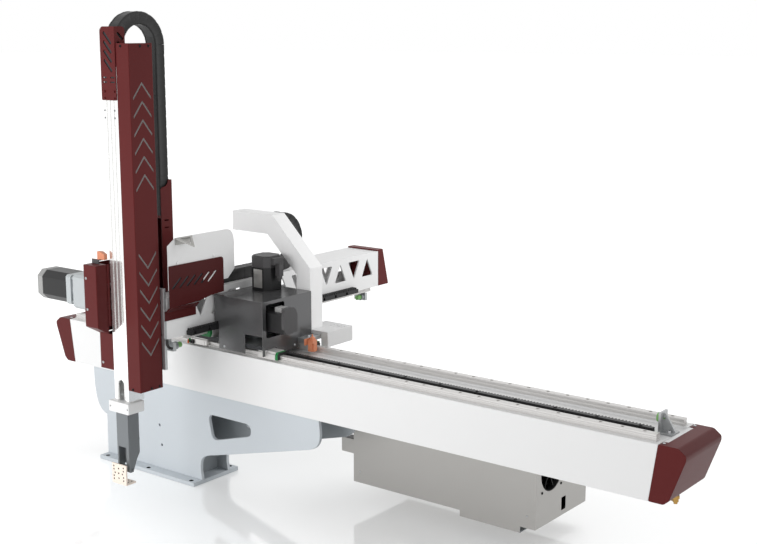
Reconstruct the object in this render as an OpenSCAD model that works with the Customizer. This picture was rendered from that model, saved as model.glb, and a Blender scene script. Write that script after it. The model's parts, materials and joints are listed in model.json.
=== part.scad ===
// Three-axis take-out robot for an injection moulding machine.
// A traverse beam on a pedestal, a carriage on the beam, a crossbeam that slides through the carriage,
// and a vertical arm with a flip unit and a drilled tool plate. Millimetres, +Z up.
// The origin is in the middle of the base plate's foot. The beam runs along X.

/* [Pedestal] */
// Length of the base plate along the beam
base_l = 458; // [440:2:500]
// Width of the base plate
base_w = 204; // [196:2:230]
// Thickness of the base plate
base_t = 13; // [10:1:18]
// Diameter of a foundation bolt hole
base_hole_d = 14; // [11:1:18]
// Outer bolt holes from the base plate's ends
base_edge_x = 26; // [18:1:39]
// Bolt holes from the base plate's long sides
base_edge_y = 14; // [12:1:22]
// Height of the beam's underside over the floor
stand_h = 324; // [310:2:360]
// Width over the two side plates
stand_w = 130; // [120:2:140]
// Thickness of a side plate
side_t = 12; // [8:1:16]
// Thickness of the webs and of the plate under the beam
web_t = 12; // [8:1:16]

/* [Traverse beam] */
// Length of the beam along its top edge
beam_l = 2181; // [2000:1:2400]
// Width of the beam
beam_w = 208; // [200:1:230]
// Height of the beam
beam_h = 148; // [140:1:170]
// Wall of the hollow profile
beam_wall = 8; // [5:1:12]
// Reach of the beam to the left of the pedestal's middle
beam_left = 355; // [320:1:420]
// Slant of the beam's ends
beam_slant = 20; // [10:1:30]
// Width of an end cap at its top edge
cap_l = 73; // [60:1:90]
// Wall of an end cap
cap_t = 3; // [2:0.5:5]

/* [Rails, racks and pinions] */
// Width of a rail
rail_w = 20; // [18:1:22]
// Height of a rail
rail_h = 18; // [16:1:20]
// Rail centre from the beam's edge, also on the crossbeam
rail_in = 27; // [25:1:30]
// Pitch of the rail's screw holes
rail_pitch = 60; // [50:5:80]
// Height of a linear block over the rail's seat
block_h = 30; // [28:1:34]
// Width of a linear block
block_w = 44; // [40:1:46]
// Length of a linear block's steel body
block_l = 60; // [50:1:70]
// Thickness of a block's end seal
seal_t = 10; // [6:1:12]
// Clearance between rail and block
block_gap = 0.4; // [0.3:0.1:0.8]
// Gear module of the racks and pinions
gear_m = 3; // [2.5:0.5:3]
// Teeth of a pinion
gear_z = 18; // [17:1:18]
// Backlash of a mesh
backlash = 0.3; // [0.2:0.05:0.5]
// Width and height of a rack
rack_w = 20; // [18:1:22]
// Face width of a pinion
pinion_w = 15; // [12:1:16]
// Diameter of a pinion's shaft
shaft_d = 16; // [14:1:18]
// Running clearance of a shaft, on the radius
fit = 0.05; // [0.02:0.01:0.1]

/* [Carriage] */
// Left edge of the carriage plate from the beam's left end
car_x = 575; // [540:1:700]
// Length of the carriage plate along the beam
plate_l = 363; // [355:1:380]
// Depth of the carriage plate
plate_w = 279; // [275:1:290]
// Thickness of the carriage plate
plate_t = 12; // [10:1:16]
// Width of the drive cover
cover_l = 200; // [195:1:210]
// Depth of the drive cover
cover_w = 223; // [215:1:230]
// Height of the drive cover's top over the beam
cover_top = 178; // [176:1:190]
// Sheet of the covers
sheet = 2; // [1.5:0.5:2.5]
// Side of the traverse and crosswise servos
servo_s = 80; // [70:1:82]
// Height of the traverse servo over the cover
servo_h = 108; // [90:1:130]
// Sheet of the chain arch
arch_t = 3; // [2:0.5:4]
// Depth of the chain arch
arch_d = 58; // [50:1:60]

/* [Crossbeam] */
// Width of the crossbeam
xb_w = 134; // [130:1:140]
// Height of the crossbeam
xb_h = 126; // [120:1:130]
// Length of the crossbeam
xb_l = 1018; // [980:1:1100]
// Wall of the crossbeam
xb_wall = 6; // [4:1:8]
// Reach of the crossbeam in front of the beam
xb_reach = 200; // [190:1:220]
// Pitch of the triangular cut-outs
tri_pitch = 74; // [72:1:80]
// Height of the chain mast over the crossbeam
mast_h = 337; // [320:1:350]
// Thickness of the head plate
head_t = 10; // [8:1:14]
// Height of the head plate
head_h = 246; // [240:1:256]

/* [Drag chains] */
// Width of a chain
chain_w = 44; // [38:1:45]
// Thickness of a chain
chain_t = 37; // [30:1:38]
// Inner bend radius of a chain
chain_r = 58; // [58:1:60]

/* [Lift arm] */
// Width of the arm profile
arm_w = 61; // [59:1:62]
// Depth of the arm profile
arm_d = 60; // [56:1:66]
// Length of the arm profile
arm_l = 981; // [940:1:1020]
// Rise of the lift chain over the arm's top
chain_rise = 60; // [50:1:80]
// Reach of the arm's lower end under the beam's top
arm_low = 111; // [90:1:120]
// Width of the chevron cover
cov_w = 53; // [46:1:56]
// Depth of the chevron cover
cov_d = 88; // [80:1:88]
// Length of the chevron cover
cov_l = 1008; // [980:1:1040]
// Side of the lift servo
lift_s = 90; // [80:1:92]

/* [Flip unit] */
// Width of the flip unit
flip_w = 51; // [46:1:56]
// Length of the flip unit
flip_l = 185; // [170:1:210]
// Diameter of the flip pin
pin_d = 8; // [6:1:10]
// Width of the tool plate
tool_w = 62; // [58:1:76]
// Height of the tool plate
tool_h = 62; // [58:1:80]
// Thickness of the tool plate
tool_t = 5; // [4:1:6]
// Diameter of a hole in the tool plate
tool_hole_d = 5; // [4:0.5:6]

/* [Hidden] */
$fn = 48;

red = "#6E3A3A";
white = "#F4F4F4";
steel = "#C9CDD0";
dark = "#3A3A3C";
grey = "#A7A9AA";
green = "#3F8F57";
orange = "#DD9270";

// Heights over the beam's top: carriage plate, crossbeam, chain
plate_z = block_h;
plate_top = plate_z + plate_t;
xb_z = plate_top + block_h;
xb_top = xb_z + xb_h;
chain_R = chain_r + chain_t;
run_z = xb_top + 0.3;
bend_z = run_z + chain_R;

// Plan of the carriage and of the crossbeam
car_x1 = car_x + plate_l;
plate_y = -4;
plate_y1 = plate_y + plate_w;
xb_x1 = car_x + 125;
xb_x = xb_x1 - xb_w;
xb_y = -xb_reach;
xb_y1 = xb_y + xb_l;
xc = (xb_x + xb_x1) / 2;
cover_x = xb_x1 + 6;
cover_x1 = cover_x + cover_l;
cover_y = -8;
cover_y1 = cover_y + cover_w;
block_all = block_l + 2 * seal_t;

// Meshes: every pinion's pitch radius, its axis over a rack's seat
gear_r = gear_m * gear_z / 2;
mesh = rack_w - gear_m + gear_r;
rack_y = rail_in + block_w / 2 + 1.5;
tp_x = cover_x + 65;
tp_y = rack_y + mesh;
ts_y = tp_y + 64.5;
cp_y = 46;
cp_z = xb_z + mesh;
cp_x = xb_x1 + 2;

// The arm, from the head plate forward
head_y = xb_y - head_t;
arm_y1 = head_y - block_h;
arm_y = arm_y1 - arm_d;
arm_x = xb_x + 10;
arm_x1 = arm_x + arm_w;
arm_z = -arm_low;
arm_top = arm_z + arm_l;
arm_c = (arm_x + arm_x1) / 2;
head_z = xb_top + 29 - head_h;
lp_z = xb_top + 8;
lrack_y = arm_y1 + 8;
lp_y = lrack_y - mesh;
lp_x = arm_x - 4;
lc_x = arm_x + 12;
lc_y = arm_y + 0.5 + chain_R;
lc_z = arm_top + chain_rise;
mast_z = xb_top + mast_h;
lc_fix = mast_z - 105;
cc_x = xc + 2;
cc_y = 343;
arch_y = 217;
arch_z1 = bend_z + chain_R + 12;
arch_z = arch_z1 - 62;
cover_z = -72;

// The wrist
end_z = arm_z - 33;
flip_z = end_z - flip_l;
flip_y = arm_y;
pin_y = flip_y + 10;
pin_z = flip_z + 8;
flip_x = arm_x + 1;
flip_c = flip_x + flip_w / 2 - 3;
tool_x = flip_c - tool_w / 2 + 2;
tool_y = flip_y - 18;

// The electrics box behind the beam
box_x = 1077;
box_x1 = 1728;
box_y = beam_w;
box_d = 289;
box_z = -400;
box_z1 = -105;
fan_y = box_y + 85;
fan_z = box_z + 153;
fan_d = 118;

function lerp(a, b, t) = a + (b - a) * t;
function bez(a, b, c, d, n = 12) = [for (i = [0:n]) let (t = i / n, s = 1 - t)
    a * s * s * s + b * 3 * s * s * t + c * 3 * s * t * t + d * t * t * t];
function unit(v) = v / norm(v);
// A polygon with every corner cut back by r and rounded
function rounded(p, r, n = 5) = [for (i = [0:len(p) - 1]) let (a = p[(i + len(p) - 1) % len(p)], b = p[i],
    c = p[(i + 1) % len(p)], q = min(r, norm(a - b) / 2, norm(c - b) / 2), u = b + unit(a - b) * q,
    v = b + unit(c - b) * q) for (k = [0:n]) let (t = k / n) u * (1 - t) * (1 - t) + b * 2 * t * (1 - t) + v * t * t];
// A counter-clockwise polygon moved inward by d
function normal(a, b) = let (u = unit(b - a)) [-u[1], u[0]];
function inset(p, d) = [for (i = [0:len(p) - 1]) let (a = p[(i + len(p) - 1) % len(p)], b = p[i],
    c = p[(i + 1) % len(p)], m = normal(a, b), n = normal(b, c)) b + (m + n) * d / (1 + m * n)];

// Puts children drawn from the beam's front top left corner into the part's frame
module at_beam() {
    translate([-beam_left, -beam_w / 2, stand_h + beam_h]) children();
}
// Stands what runs along +X on end, with its top toward +Y
module upright() {
    rotate([90, 0, 90]) rotate([90, 0, 90]) children();
}
// Draws an outline given as (x, z) and gives it depth along +Y
module slab_y(y, t) {
    translate([0, y + t, 0]) rotate([90, 0, 0]) linear_extrude(t) children();
}
// Draws an outline given as (y, z) and gives it depth along +X
module slab_x(x, t) {
    translate([x, 0, 0]) rotate([90, 0, 90]) linear_extrude(t) children();
}
module box(a, b) {
    translate(a) cube(b - a);
}
// Cylinder along X or Y from a point
module rod_x(p, d, l) {
    translate(p) rotate([0, 90, 0]) cylinder(d = d, h = l);
}
module rod_y(p, d, l) {
    translate(p) rotate([-90, 0, 0]) cylinder(d = d, h = l);
}
// Square motor section with chamfered corners
module square_bar(s, c, h) {
    q = s / 2;
    linear_extrude(h) polygon([[q - c, -q], [q, c - q], [q, q - c], [q - c, q], [c - q, q], [-q, q - c],
        [-q, c - q], [c - q, -q]]);
}
// Servo along +Z from its flange: body, groove, end bell with a stepped top
module servo(s, l, bell) {
    c = s / 5;
    square_bar(s, c, l - bell);
    translate([0, 0, l - bell]) square_bar(s - 3, c, 1.5);
    translate([0, 0, l - bell + 1.5]) square_bar(s, c, bell - 5);
    translate([0, 0, l - 3.5]) square_bar(s - 9, c - 2, 3.5);
}
// Rail along +X with its counterbored screw holes; block that rides on it
module rail(l) {
    w = rail_w / 2;
    difference() {
        rotate([90, 0, 90]) linear_extrude(l) polygon([[-w, 0], [w, 0], [w, rail_h * 0.36], [w - 1.6, rail_h * 0.45],
            [w - 1.6, rail_h * 0.62], [w, rail_h * 0.72], [w, rail_h - 1.5], [w - 1.5, rail_h], [1.5 - w, rail_h],
            [-w, rail_h - 1.5], [-w, rail_h * 0.72], [1.6 - w, rail_h * 0.62], [1.6 - w, rail_h * 0.45],
            [-w, rail_h * 0.36]]);
        for (x = [rail_pitch / 3:rail_pitch:l - 8]) translate([x, 0, 0]) {
            translate([0, 0, -1]) cylinder(d = 6, h = rail_h + 2);
            translate([0, 0, rail_h - 6]) cylinder(d = 9.5, h = 7);
        }
    }
}
module block_section(grow) {
    w = block_w / 2 - grow;
    c = rail_w / 2 + block_gap;
    top = rail_h + block_gap;
    polygon([[-w, 5 + grow], [-c, 5 + grow], [-c, top], [c, top], [c, 5 + grow], [w, 5 + grow],
        [w, block_h - 8], [w - 3, block_h - 6], [w - 3, block_h - grow * 2], [3 - w, block_h - grow * 2],
        [3 - w, block_h - 6], [-w, block_h - 8]]);
}
module block() {
    translate([seal_t, 0, 0]) rotate([90, 0, 90]) linear_extrude(block_l) block_section(0);
}
module seals() {
    for (x = [0, seal_t + block_l]) translate([x, 0, 0]) rotate([90, 0, 90]) linear_extrude(seal_t) block_section(0.8);
}
// Rack teeth: outline along x with the teeth up, one tooth centred at phase
function tooth(c) = let (h = PI * gear_m / 4 - backlash / 4, a = gear_m * tan(20))
    [[c - h - 1.25 * a, -2.25 * gear_m], [c - h + a, 0], [c + h - a, 0], [c + h + 1.25 * a, -2.25 * gear_m]];
module rack_outline(a, b, phase) {
    p = PI * gear_m;
    n0 = ceil((a + p / 2 - phase) / p);
    n1 = floor((b - p / 2 - phase) / p);
    polygon(concat([[a, -rack_w], [a, -2.25 * gear_m]], [for (n = [n0:n1]) for (q = tooth(phase + n * p)) q],
        [[b, -2.25 * gear_m], [b, -rack_w]]));
}
// Involute pinion with a tooth space on its +x side
function inv(r, rb) = let (a = acos(min(1, rb / r))) tan(a) * 180 / PI - a;
function flank(r, rb, half) = half + inv(gear_r, rb) - inv(r, rb);
module pinion_outline() {
    rb = gear_r * cos(20);
    ra = gear_r + gear_m;
    rf = gear_r - 1.25 * gear_m;
    half = 90 / gear_z - backlash / 4 / gear_r * 180 / PI;
    polygon([for (t = [0:gear_z - 1]) let (c = (t + 0.5) * 360 / gear_z) each concat(
        [[rf * cos(c - flank(rb, rb, half)), rf * sin(c - flank(rb, rb, half))]],
        [for (k = [0:5]) let (r = lerp(rb, ra, k / 5), f = c - flank(r, rb, half)) [r * cos(f), r * sin(f)]],
        [for (k = [5:-1:0]) let (r = lerp(rb, ra, k / 5), f = c + flank(r, rb, half)) [r * cos(f), r * sin(f)]],
        [[rf * cos(c + flank(rb, rb, half)), rf * sin(c + flank(rb, rb, half))]])]);
}
// Pinion along +Z: teeth, a hub and a shaft of length l
module pinion(l) {
    linear_extrude(pinion_w) pinion_outline();
    translate([0, 0, -1]) cylinder(d = shaft_d + 10, h = pinion_w + 2);
    cylinder(d = shaft_d, h = l);
}
// Drag chain bend: half ring in the plane of two runs, of width w
module half_ring() {
    rotate_extrude(angle = 180, $fn = 96) translate([chain_r, 0]) square([chain_t, chain_w]);
}

// Pedestal, drawn in the part's own frame
module base_plate() color(steel) {
    difference() {
        box([-base_l / 2, -base_w / 2, 0], [base_l / 2, base_w / 2, base_t]);
        for (x = [base_edge_x - base_l / 2, 0, base_l / 2 - base_edge_x])
            for (y = [base_edge_y - base_w / 2, base_w / 2 - base_edge_y])
            translate([x, y, -1]) cylinder(d = base_hole_d, h = base_t + 2);
    }
}
// Side plate: a foot on the base plate and a cantilever with a window, both set out by d at its far end
web_h = 118;
function side_curve(d) = let (f = base_l / 2) concat([[-288, stand_h]],
    bez([-288, stand_h - 15], [-286, stand_h - 124], [-272, stand_h - 164], [-227, stand_h - 175]),
    [[-f, base_t], [f, base_t]], bez([f - 5, 44], [f - 7, 84], [f + 1, 98], [f + 60, 109], 8),
    bez([690, 211] + d, [742, 226] + d, [733, 270] + d, [724 + d[0], stand_h]));
module side_outline(d) {
    difference() {
        polygon(side_curve(d));
        polygon(rounded([[263, stand_h - 82] + d, [282, 157] + d, [452, 205] + d, [447, stand_h - 83] + d], 24));
    }
}
module side_plate(y, d) {
    color(steel) difference() {
        slab_y(y, side_t) side_outline(d);
        for (p = [[35, 161], [43, 94], [-70, 94]]) rod_y([p[0], y - 1, p[1]], 9, side_t + 2);
    }
}
module side_plate_front() {
    side_plate(-stand_w / 2, [0, 0]);
}
module side_plate_rear() {
    side_plate(stand_w / 2 - side_t, [37, 17]);
}
module pedestal_webs() color(steel) {
    y = stand_w / 2 - side_t;
    f = base_l / 2;
    box([f - 46 - web_t, -y, base_t], [f - 46, y, web_h]);
    box([2 - f, -y, base_t], [2 - f + web_t, y, web_h]);
    difference() {
        box([-284, -y, stand_h - web_t], [712, y, stand_h]);
        for (x = [-250:230:670]) translate([x, 0, stand_h - web_t - 1]) cylinder(d = 11, h = web_t + 2);
    }
}

// Traverse beam and what is fixed to it, drawn from the beam's front top left corner
module beam_section() {
    difference() {
        polygon([[0, -beam_h], [beam_w, -beam_h], [beam_w, 0], [beam_w - 40, 0], [beam_w - 42, -4], [72, -4],
            [70, 0], [0, 0]]);
        polygon(rounded([[beam_wall, beam_wall - beam_h], [beam_w / 2 - 4, beam_wall - beam_h],
            [beam_w / 2 - 4, -beam_wall - 6], [beam_wall, -beam_wall - 6]], 6));
        polygon(rounded([[beam_w / 2 + 4, beam_wall - beam_h], [beam_w - beam_wall, beam_wall - beam_h],
            [beam_w - beam_wall, -beam_wall - 6], [beam_w / 2 + 4, -beam_wall - 6]], 6));
    }
}
module traverse_beam() color(white) at_beam() {
    intersection() {
        slab_x(0, beam_l) beam_section();
        slab_y(0, beam_w) polygon([[0, 0], [beam_slant, -beam_h], [beam_l - beam_slant, -beam_h], [beam_l, 0]]);
    }
}
module beam_rails() color(steel) at_beam() {
    for (y = [rail_in, beam_w - rail_in]) translate([13, y, 0]) rail(beam_l - 26);
}
module traverse_rack() color(dark) at_beam() {
    difference() {
        translate([0, rack_y + rack_w, 0]) linear_extrude(rack_w) rack_outline(40, beam_l - 40, tp_x);
        for (x = [67:rail_pitch * 2:beam_l - 50]) translate([x, rack_y + 6, 0]) {
            translate([0, 0, -1]) cylinder(d = 6, h = rack_w + 2);
            translate([0, 0, rack_w - 6]) cylinder(d = 10, h = 7);
        }
    }
}
module end_cap() {
    outer = [[cap_l - 21, 0], [0, 0], [-beam_slant, -beam_h], [20 - beam_slant + 20, -beam_h],
        [34 - beam_slant + 20, 12 - beam_h], [cap_l, -28], [cap_l, -16]];
    inner = inset(outer, cap_t);
    difference() {
        slab_y(0, beam_w) polygon(rounded(outer, 5));
        slab_y(cap_t, beam_w - 2 * cap_t) polygon(inner);
        slab_y(cap_t, beam_w - 2 * cap_t) translate([-cap_t * 1.6, 0]) polygon(inner);
        slab_y(30, beam_w - 62) polygon([[-1, -cap_t - 1], [12, -cap_t - 1], [14, 1], [-1, 1]]);
    }
}
module end_cap_right() color(red) at_beam() {
    translate([beam_l, 0, 0]) end_cap();
}
module end_cap_left() color(red) at_beam() {
    mirror([1, 0, 0]) end_cap();
}
// Stop with a gusset and two slots; its buffer faces -X
module stop() {
    difference() {
        union() {
            box([0, -20, 0], [40, 20, 6]);
            box([0, -20, 0], [6, 20, 55]);
            slab_y(-3, 6) polygon([[5, 5], [40, 5], [12, 50], [5, 50]]);
        }
        for (y = [-12, 12]) translate([26, y, -1]) cylinder(d = 7, h = 8);
        rod_x([-1, 0, 38], 7, 12);
    }
}
stop_in = 41;
module stop_right() color(steel) at_beam() {
    translate([beam_l - stop_in, beam_w / 2, -4]) stop();
}
module stop_left() color(steel) at_beam() {
    translate([stop_in, beam_w / 2, -4]) mirror([1, 0, 0]) stop();
}
module buffer() {
    rod_x([-10, 0, 38], 24, 10);
    rod_x([0, 0, 38], 6.9, 9);
}
module beam_buffers() color(green) at_beam() {
    translate([beam_l - stop_in, beam_w / 2, -4]) buffer();
    translate([stop_in, beam_w / 2, -4]) mirror([1, 0, 0]) buffer();
}
module air_fitting() color("#C9A15F") at_beam() {
    translate([beam_l + 5, beam_w / 2, -beam_h]) mirror([0, 0, 1]) {
        cylinder(d = 14, h = 9);
        translate([0, 0, 9]) cylinder(d = 21, h = 8, $fn = 6);
        translate([0, 0, 17]) cylinder(d = 15, h = 9);
        translate([0, 0, 26]) cylinder(d = 10, h = 5);
    }
    rod_x([beam_l - 11, beam_w / 2, -beam_h - 21.5], 9, 12);
}
module electrics_box() color(grey) at_beam() {
    difference() {
        box([box_x, box_y, box_z], [box_x1, box_y + box_d, box_z1]);
        box([box_x + sheet, box_y + sheet, box_z + sheet], [box_x1 - sheet, box_y + box_d - sheet, box_z1 - sheet]);
        rod_x([box_x1 - sheet - 1, fan_y, fan_z], fan_d, sheet + 2);
        for (y = [-52.5, 52.5]) for (z = [-52.5, 52.5]) rod_x([box_x1 - sheet - 1, fan_y + y, fan_z + z], 4.3, sheet + 2);
        box([box_x1 - sheet - 1, box_y + 143, box_z + 16], [box_x1 + 1, box_y + 168, box_z + 55]);
    }
    // Hanging angle under the front edge, and the terminal block on the left end
    box([1473, box_y, box_z - 19], [1678, box_y + 3, box_z]);
    box([1473, box_y, box_z - 19], [1678, box_y + 47, box_z - 16]);
    box([box_x - 47, box_y, box_z + 89], [box_x, box_y + 34, box_z + 136]);
}
module box_fan() color(dark) at_beam() {
    x = box_x1 - sheet - 25;
    difference() {
        translate([x, fan_y, fan_z]) rotate([0, 90, 0]) square_bar(119, 4, 25);
        rod_x([x - 1, fan_y, fan_z], 115, 27);
        for (y = [-52.5, 52.5]) for (z = [-52.5, 52.5]) rod_x([x - 1, fan_y + y, fan_z + z], 4.3, 27);
    }
    rod_x([x, fan_y, fan_z], 44, 3);
    rod_x([x, fan_y, fan_z], 6, 16);
    for (a = [45:90:315]) translate([x + 1.5, fan_y, fan_z]) rotate([a, 0, 0]) box([-1.5, -3, 20], [1.5, 3, 59]);
}
module fan_rotor() color("#1E1E1E") at_beam() {
    x = box_x1 - sheet - 25;
    difference() {
        rod_x([x + 3.5, fan_y, fan_z], 44, 19);
        rod_x([x + 3, fan_y, fan_z], 6 + 2 * fit, 13.5 + 2);
    }
    for (a = [0:360 / 7:359]) translate([x + 13, fan_y, fan_z]) rotate([a, 0, 0]) translate([0, 0, 21.5])
        rotate([0, 0, 38]) box([-11, -1, 0], [11, 1, 33]);
}

// Carriage
// The plate steps back behind the cover's right wall as far as notch_y
notch_y = 150;
module carriage_plate() color(steel) at_beam() {
    x = cover_x1 - sheet - 1;
    difference() {
        translate([0, 0, plate_z]) linear_extrude(plate_t) polygon([[car_x, plate_y], [x, plate_y], [x, notch_y],
            [car_x1, notch_y], [car_x1, plate_y1], [car_x, plate_y1]]);
        translate([tp_x, tp_y, plate_z - 1]) cylinder(d = shaft_d + 14, h = plate_t + 2);
        for (p = [[car_x + 20, rail_in], [car_x + 60, rail_in], [x - 11, rail_in], [car_x + 20, beam_w - rail_in],
            [car_x + 60, beam_w - rail_in], [x - 11, beam_w - rail_in], [car_x1 - 16, beam_w - rail_in]])
            translate([p[0], p[1], plate_z - 1]) cylinder(d = 7, h = plate_t + 2);
    }
}
module each_block() {
    for (x = [car_x, car_x1 - block_all + 14]) for (y = [rail_in, beam_w - rail_in]) translate([x, y, 0]) children();
}
module each_cross_block() {
    for (y = [plate_y - 13, plate_y1 - block_all]) for (x = [xb_x + rail_in, xb_x1 - rail_in])
        translate([x, y, xb_z]) mirror([0, 0, 1]) rotate([0, 0, 90]) children();
}
module traverse_blocks() color(steel) at_beam() {
    each_block() block();
}
module crosswise_blocks() color(steel) at_beam() {
    each_cross_block() block();
}
module block_seals() color(green) at_beam() {
    each_block() seals();
    each_cross_block() seals();
}
cover_z0 = 12;
module drive_cover() color("#5A5A5C") at_beam() {
    difference() {
        box([cover_x, cover_y, cover_z0], [cover_x1, cover_y1, cover_top]);
        box([cover_x - 1, cover_y + sheet, cover_z0 - 1], [cover_x1 - sheet, cover_y1 - sheet, cover_top - sheet]);
        box([cover_x - 1, cover_y - 1, cover_z0 - 1], [xb_x1 + rack_w + 3, cover_y1 + 1, xb_z + rack_w + 4]);
        box([cover_x1 - 73, cover_y - 1, cover_z0 - 1], [cover_x1 - sheet, cover_y + sheet + 1, 72]);
        slab_x(cover_x1 - sheet - 1, sheet + 2) polygon(rounded([[8, 66], [90, 66], [90, 168], [8, 168]], 8));
        // Over the plate, the front block and the rack
        box([cover_x - 1, notch_y, cover_z0 - 1], [cover_x1 + 1, cover_y1 + 1, plate_top]);
        box([cover_x1 - sheet - 1, 3, cover_z0 - 1], [cover_x1 + 1, 51, block_h + 1.5]);
        box([cover_x1 - sheet - 1, 50, cover_z0 - 1], [cover_x1 + 1, rack_y + rack_w + 1.5, rack_w + 1.5]);
        translate([tp_x, ts_y, cover_top - sheet - 1]) cylinder(d = 56, h = sheet + 2);
    }
}
module traverse_servo() color(dark) at_beam() {
    x = tp_x + servo_s / 2 - 1;
    z = cover_top + servo_h;
    translate([tp_x, ts_y, cover_top]) servo(servo_s, servo_h, servo_h / 3);
    box([x, ts_y - 22, z - 26], [x + 13, ts_y + 22, z - 5]);
    box([x + 6, ts_y - 9, z - 62], [x + 24, ts_y + 9, z - 22]);
    translate([x + 15, ts_y, z - 78]) cylinder(d = 11, h = 18);
}
gear_h = 32;
module traverse_gearbox() color(grey) at_beam() {
    difference() {
        union() {
            slab_top = plate_top + gear_h;
            translate([tp_x, 0, plate_top]) linear_extrude(gear_h) polygon(rounded([[-38, tp_y - 34],
                [38, tp_y - 34], [38, ts_y + 40], [-38, ts_y + 40]], 16));
            translate([tp_x, ts_y, slab_top]) square_bar(76, 12, cover_top - sheet - slab_top);
            translate([tp_x, ts_y, slab_top]) cylinder(d = 55, h = cover_top - slab_top);
        }
        translate([tp_x, tp_y, plate_top - 1]) cylinder(d = shaft_d + 2 * fit, h = 15);
    }
}
module traverse_pinion() color("#8A8D90") at_beam() {
    translate([tp_x, tp_y, 2]) rotate([0, 0, -90]) pinion(plate_top + 12 - 2);
}
cm_x = cp_x + pinion_w + 5;
module crosswise_mount() color(steel) at_beam() {
    difference() {
        union() {
            slab_x(cm_x, 10) polygon(rounded([[cp_y - 44, plate_top], [cp_y + 44, plate_top],
                [cp_y + 44, cp_z + 42], [cp_y - 44, cp_z + 42]], 6));
            box([cm_x - 4, cp_y - 44, plate_top], [cm_x, cp_y + 44, xb_z - 6]);
            rod_x([cm_x + 10, cp_y, cp_z], 78, 88);
        }
        rod_x([cm_x - 1, cp_y, cp_z], shaft_d + 2 * fit, 13);
    }
}
module crosswise_servo() color(dark) at_beam() {
    s = servo_s - 18;
    x = cover_x1 + 66;
    translate([cm_x + 98, cp_y, cp_z]) rotate([0, 90, 0]) square_bar(s, 3, x - cm_x - 100);
    // Rounded end cap, connector and its boot
    slab_x(x - 10, 10) polygon(rounded([[cp_y - s / 2 - 1, cp_z - s / 2 - 2], [cp_y + s / 2 - 5, cp_z - s / 2 - 2],
        [cp_y + s / 2 - 5, cp_z + s / 2 + 17], [cp_y - s / 2 + 6, cp_z + s / 2 + 17], [cp_y - s / 2 - 1, cp_z + s / 2]], 26));
    box([x - 50, cp_y - 16, cp_z + s / 2 - 1], [x - 24, cp_y + 12, cp_z + s / 2 + 14]);
    rod_x([x - 25, cp_y - 2, cp_z + s / 2 + 7], 11, 17);
}
module crosswise_pinion() color("#8A8D90") at_beam() {
    translate([cp_x, cp_y, cp_z]) rotate([0, 90, 0]) pinion(cm_x + 11 - cp_x);
}
// Arch over the crossbeam that holds the chain's fixed end: a channel open at the back
arch_x = cover_x1 - 63;
arch_x1 = cover_x1 - 6;
module chain_arch() color(white) at_beam() {
    p = [[arch_x, plate_top], [arch_x1, plate_top], [arch_x1, 247], [arch_x1 - 155, arch_z1], [car_x - 3, arch_z1],
        [car_x - 3, arch_z], [arch_x1 - 178, arch_z], [arch_x, 223]];
    difference() {
        slab_y(arch_y, arch_d) polygon(p);
        slab_y(arch_y + arch_t, arch_d) polygon(inset(p, arch_t));
        slab_y(arch_y + arch_t, arch_d) polygon([[car_x - 4, arch_z + arch_t], [car_x + 10, arch_z + arch_t],
            [car_x + 10, arch_z1 - arch_t], [car_x - 4, arch_z1 - arch_t]]);
    }
    box([arch_x - 0.001, arch_y + arch_t, plate_top], [arch_x1 - 0.001, arch_y + arch_d, plate_top + arch_t]);
}
tray_x1 = car_x1 + 27;
module chain_tray() color(grey) at_beam() {
    y = arch_y + 5;
    y1 = arch_y + 128;
    difference() {
        union() {
            box([arch_x1 + 2, y, 50], [tray_x1, y1, 53]);
            box([arch_x + 12, arch_y + arch_d + 2, 50], [arch_x1 + 2, y1, 53]);
            box([tray_x1 - 3, y, 5], [tray_x1, y1, 50]);
            box([car_x1 + 0.5, y, 5], [tray_x1, y + 3, 50]);
            box([arch_x + 12, y1 - 3, 5], [tray_x1, y1, 50]);
            box([arch_x1 + 2, y, plate_top], [car_x1 - 2, y + 3, 50]);
            box([arch_x1 + 2, plate_y1 - 8, plate_top], [car_x1 - 2, plate_y1 - 5, 50]);
        }
        for (x = [arch_x1 + 12:14:tray_x1 - 8]) slab_slot(x, y + 74, 22);
    }
}
// Vertical slot along Y of width 5
module slab_slot(x, y, l) {
    translate([x, y, 49]) {
        cylinder(d = 5, h = 5);
        translate([0, l, 0]) cylinder(d = 5, h = 5);
        box([-2.5, 0, 0], [2.5, l, 5]);
    }
}
module carriage_sensor() color(orange) at_beam() {
    x = car_x1 + 16;
    box([car_x1, notch_y, plate_z + 1], [x, notch_y + 8, plate_z + 10]);
    box([x - 4, notch_y - 22, plate_z - 2], [x - 1, notch_y + 2, plate_z + 18]);
    difference() {
        box([x, notch_y - 9, plate_z - 22], [x + 20, notch_y + 11, plate_z + 14]);
        box([x + 16, notch_y - 10, plate_z - 23], [x + 21, notch_y - 4, plate_z + 4]);
    }
    box([x + 4, notch_y - 6, plate_z + 14], [x + 16, notch_y + 8, plate_z + 21]);
    translate([x + 10, notch_y + 1, plate_z + 21]) cylinder(d = 5, h = 10);
}

// Drag chain over the crossbeam
module cross_chain_upper() color(dark) at_beam() {
    box([cc_x, arch_y + arch_t, bend_z + chain_r], [cc_x + chain_w, cc_y, bend_z + chain_R]);
}
module cross_chain_bend() color(dark) at_beam() {
    translate([cc_x, cc_y, bend_z]) rotate([90, 0, 90]) rotate([0, 0, -90]) half_ring();
}
module cross_chain_lower() color(dark) at_beam() {
    box([cc_x, -60, run_z], [cc_x + chain_w, cc_y, run_z + chain_t]);
}

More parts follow.
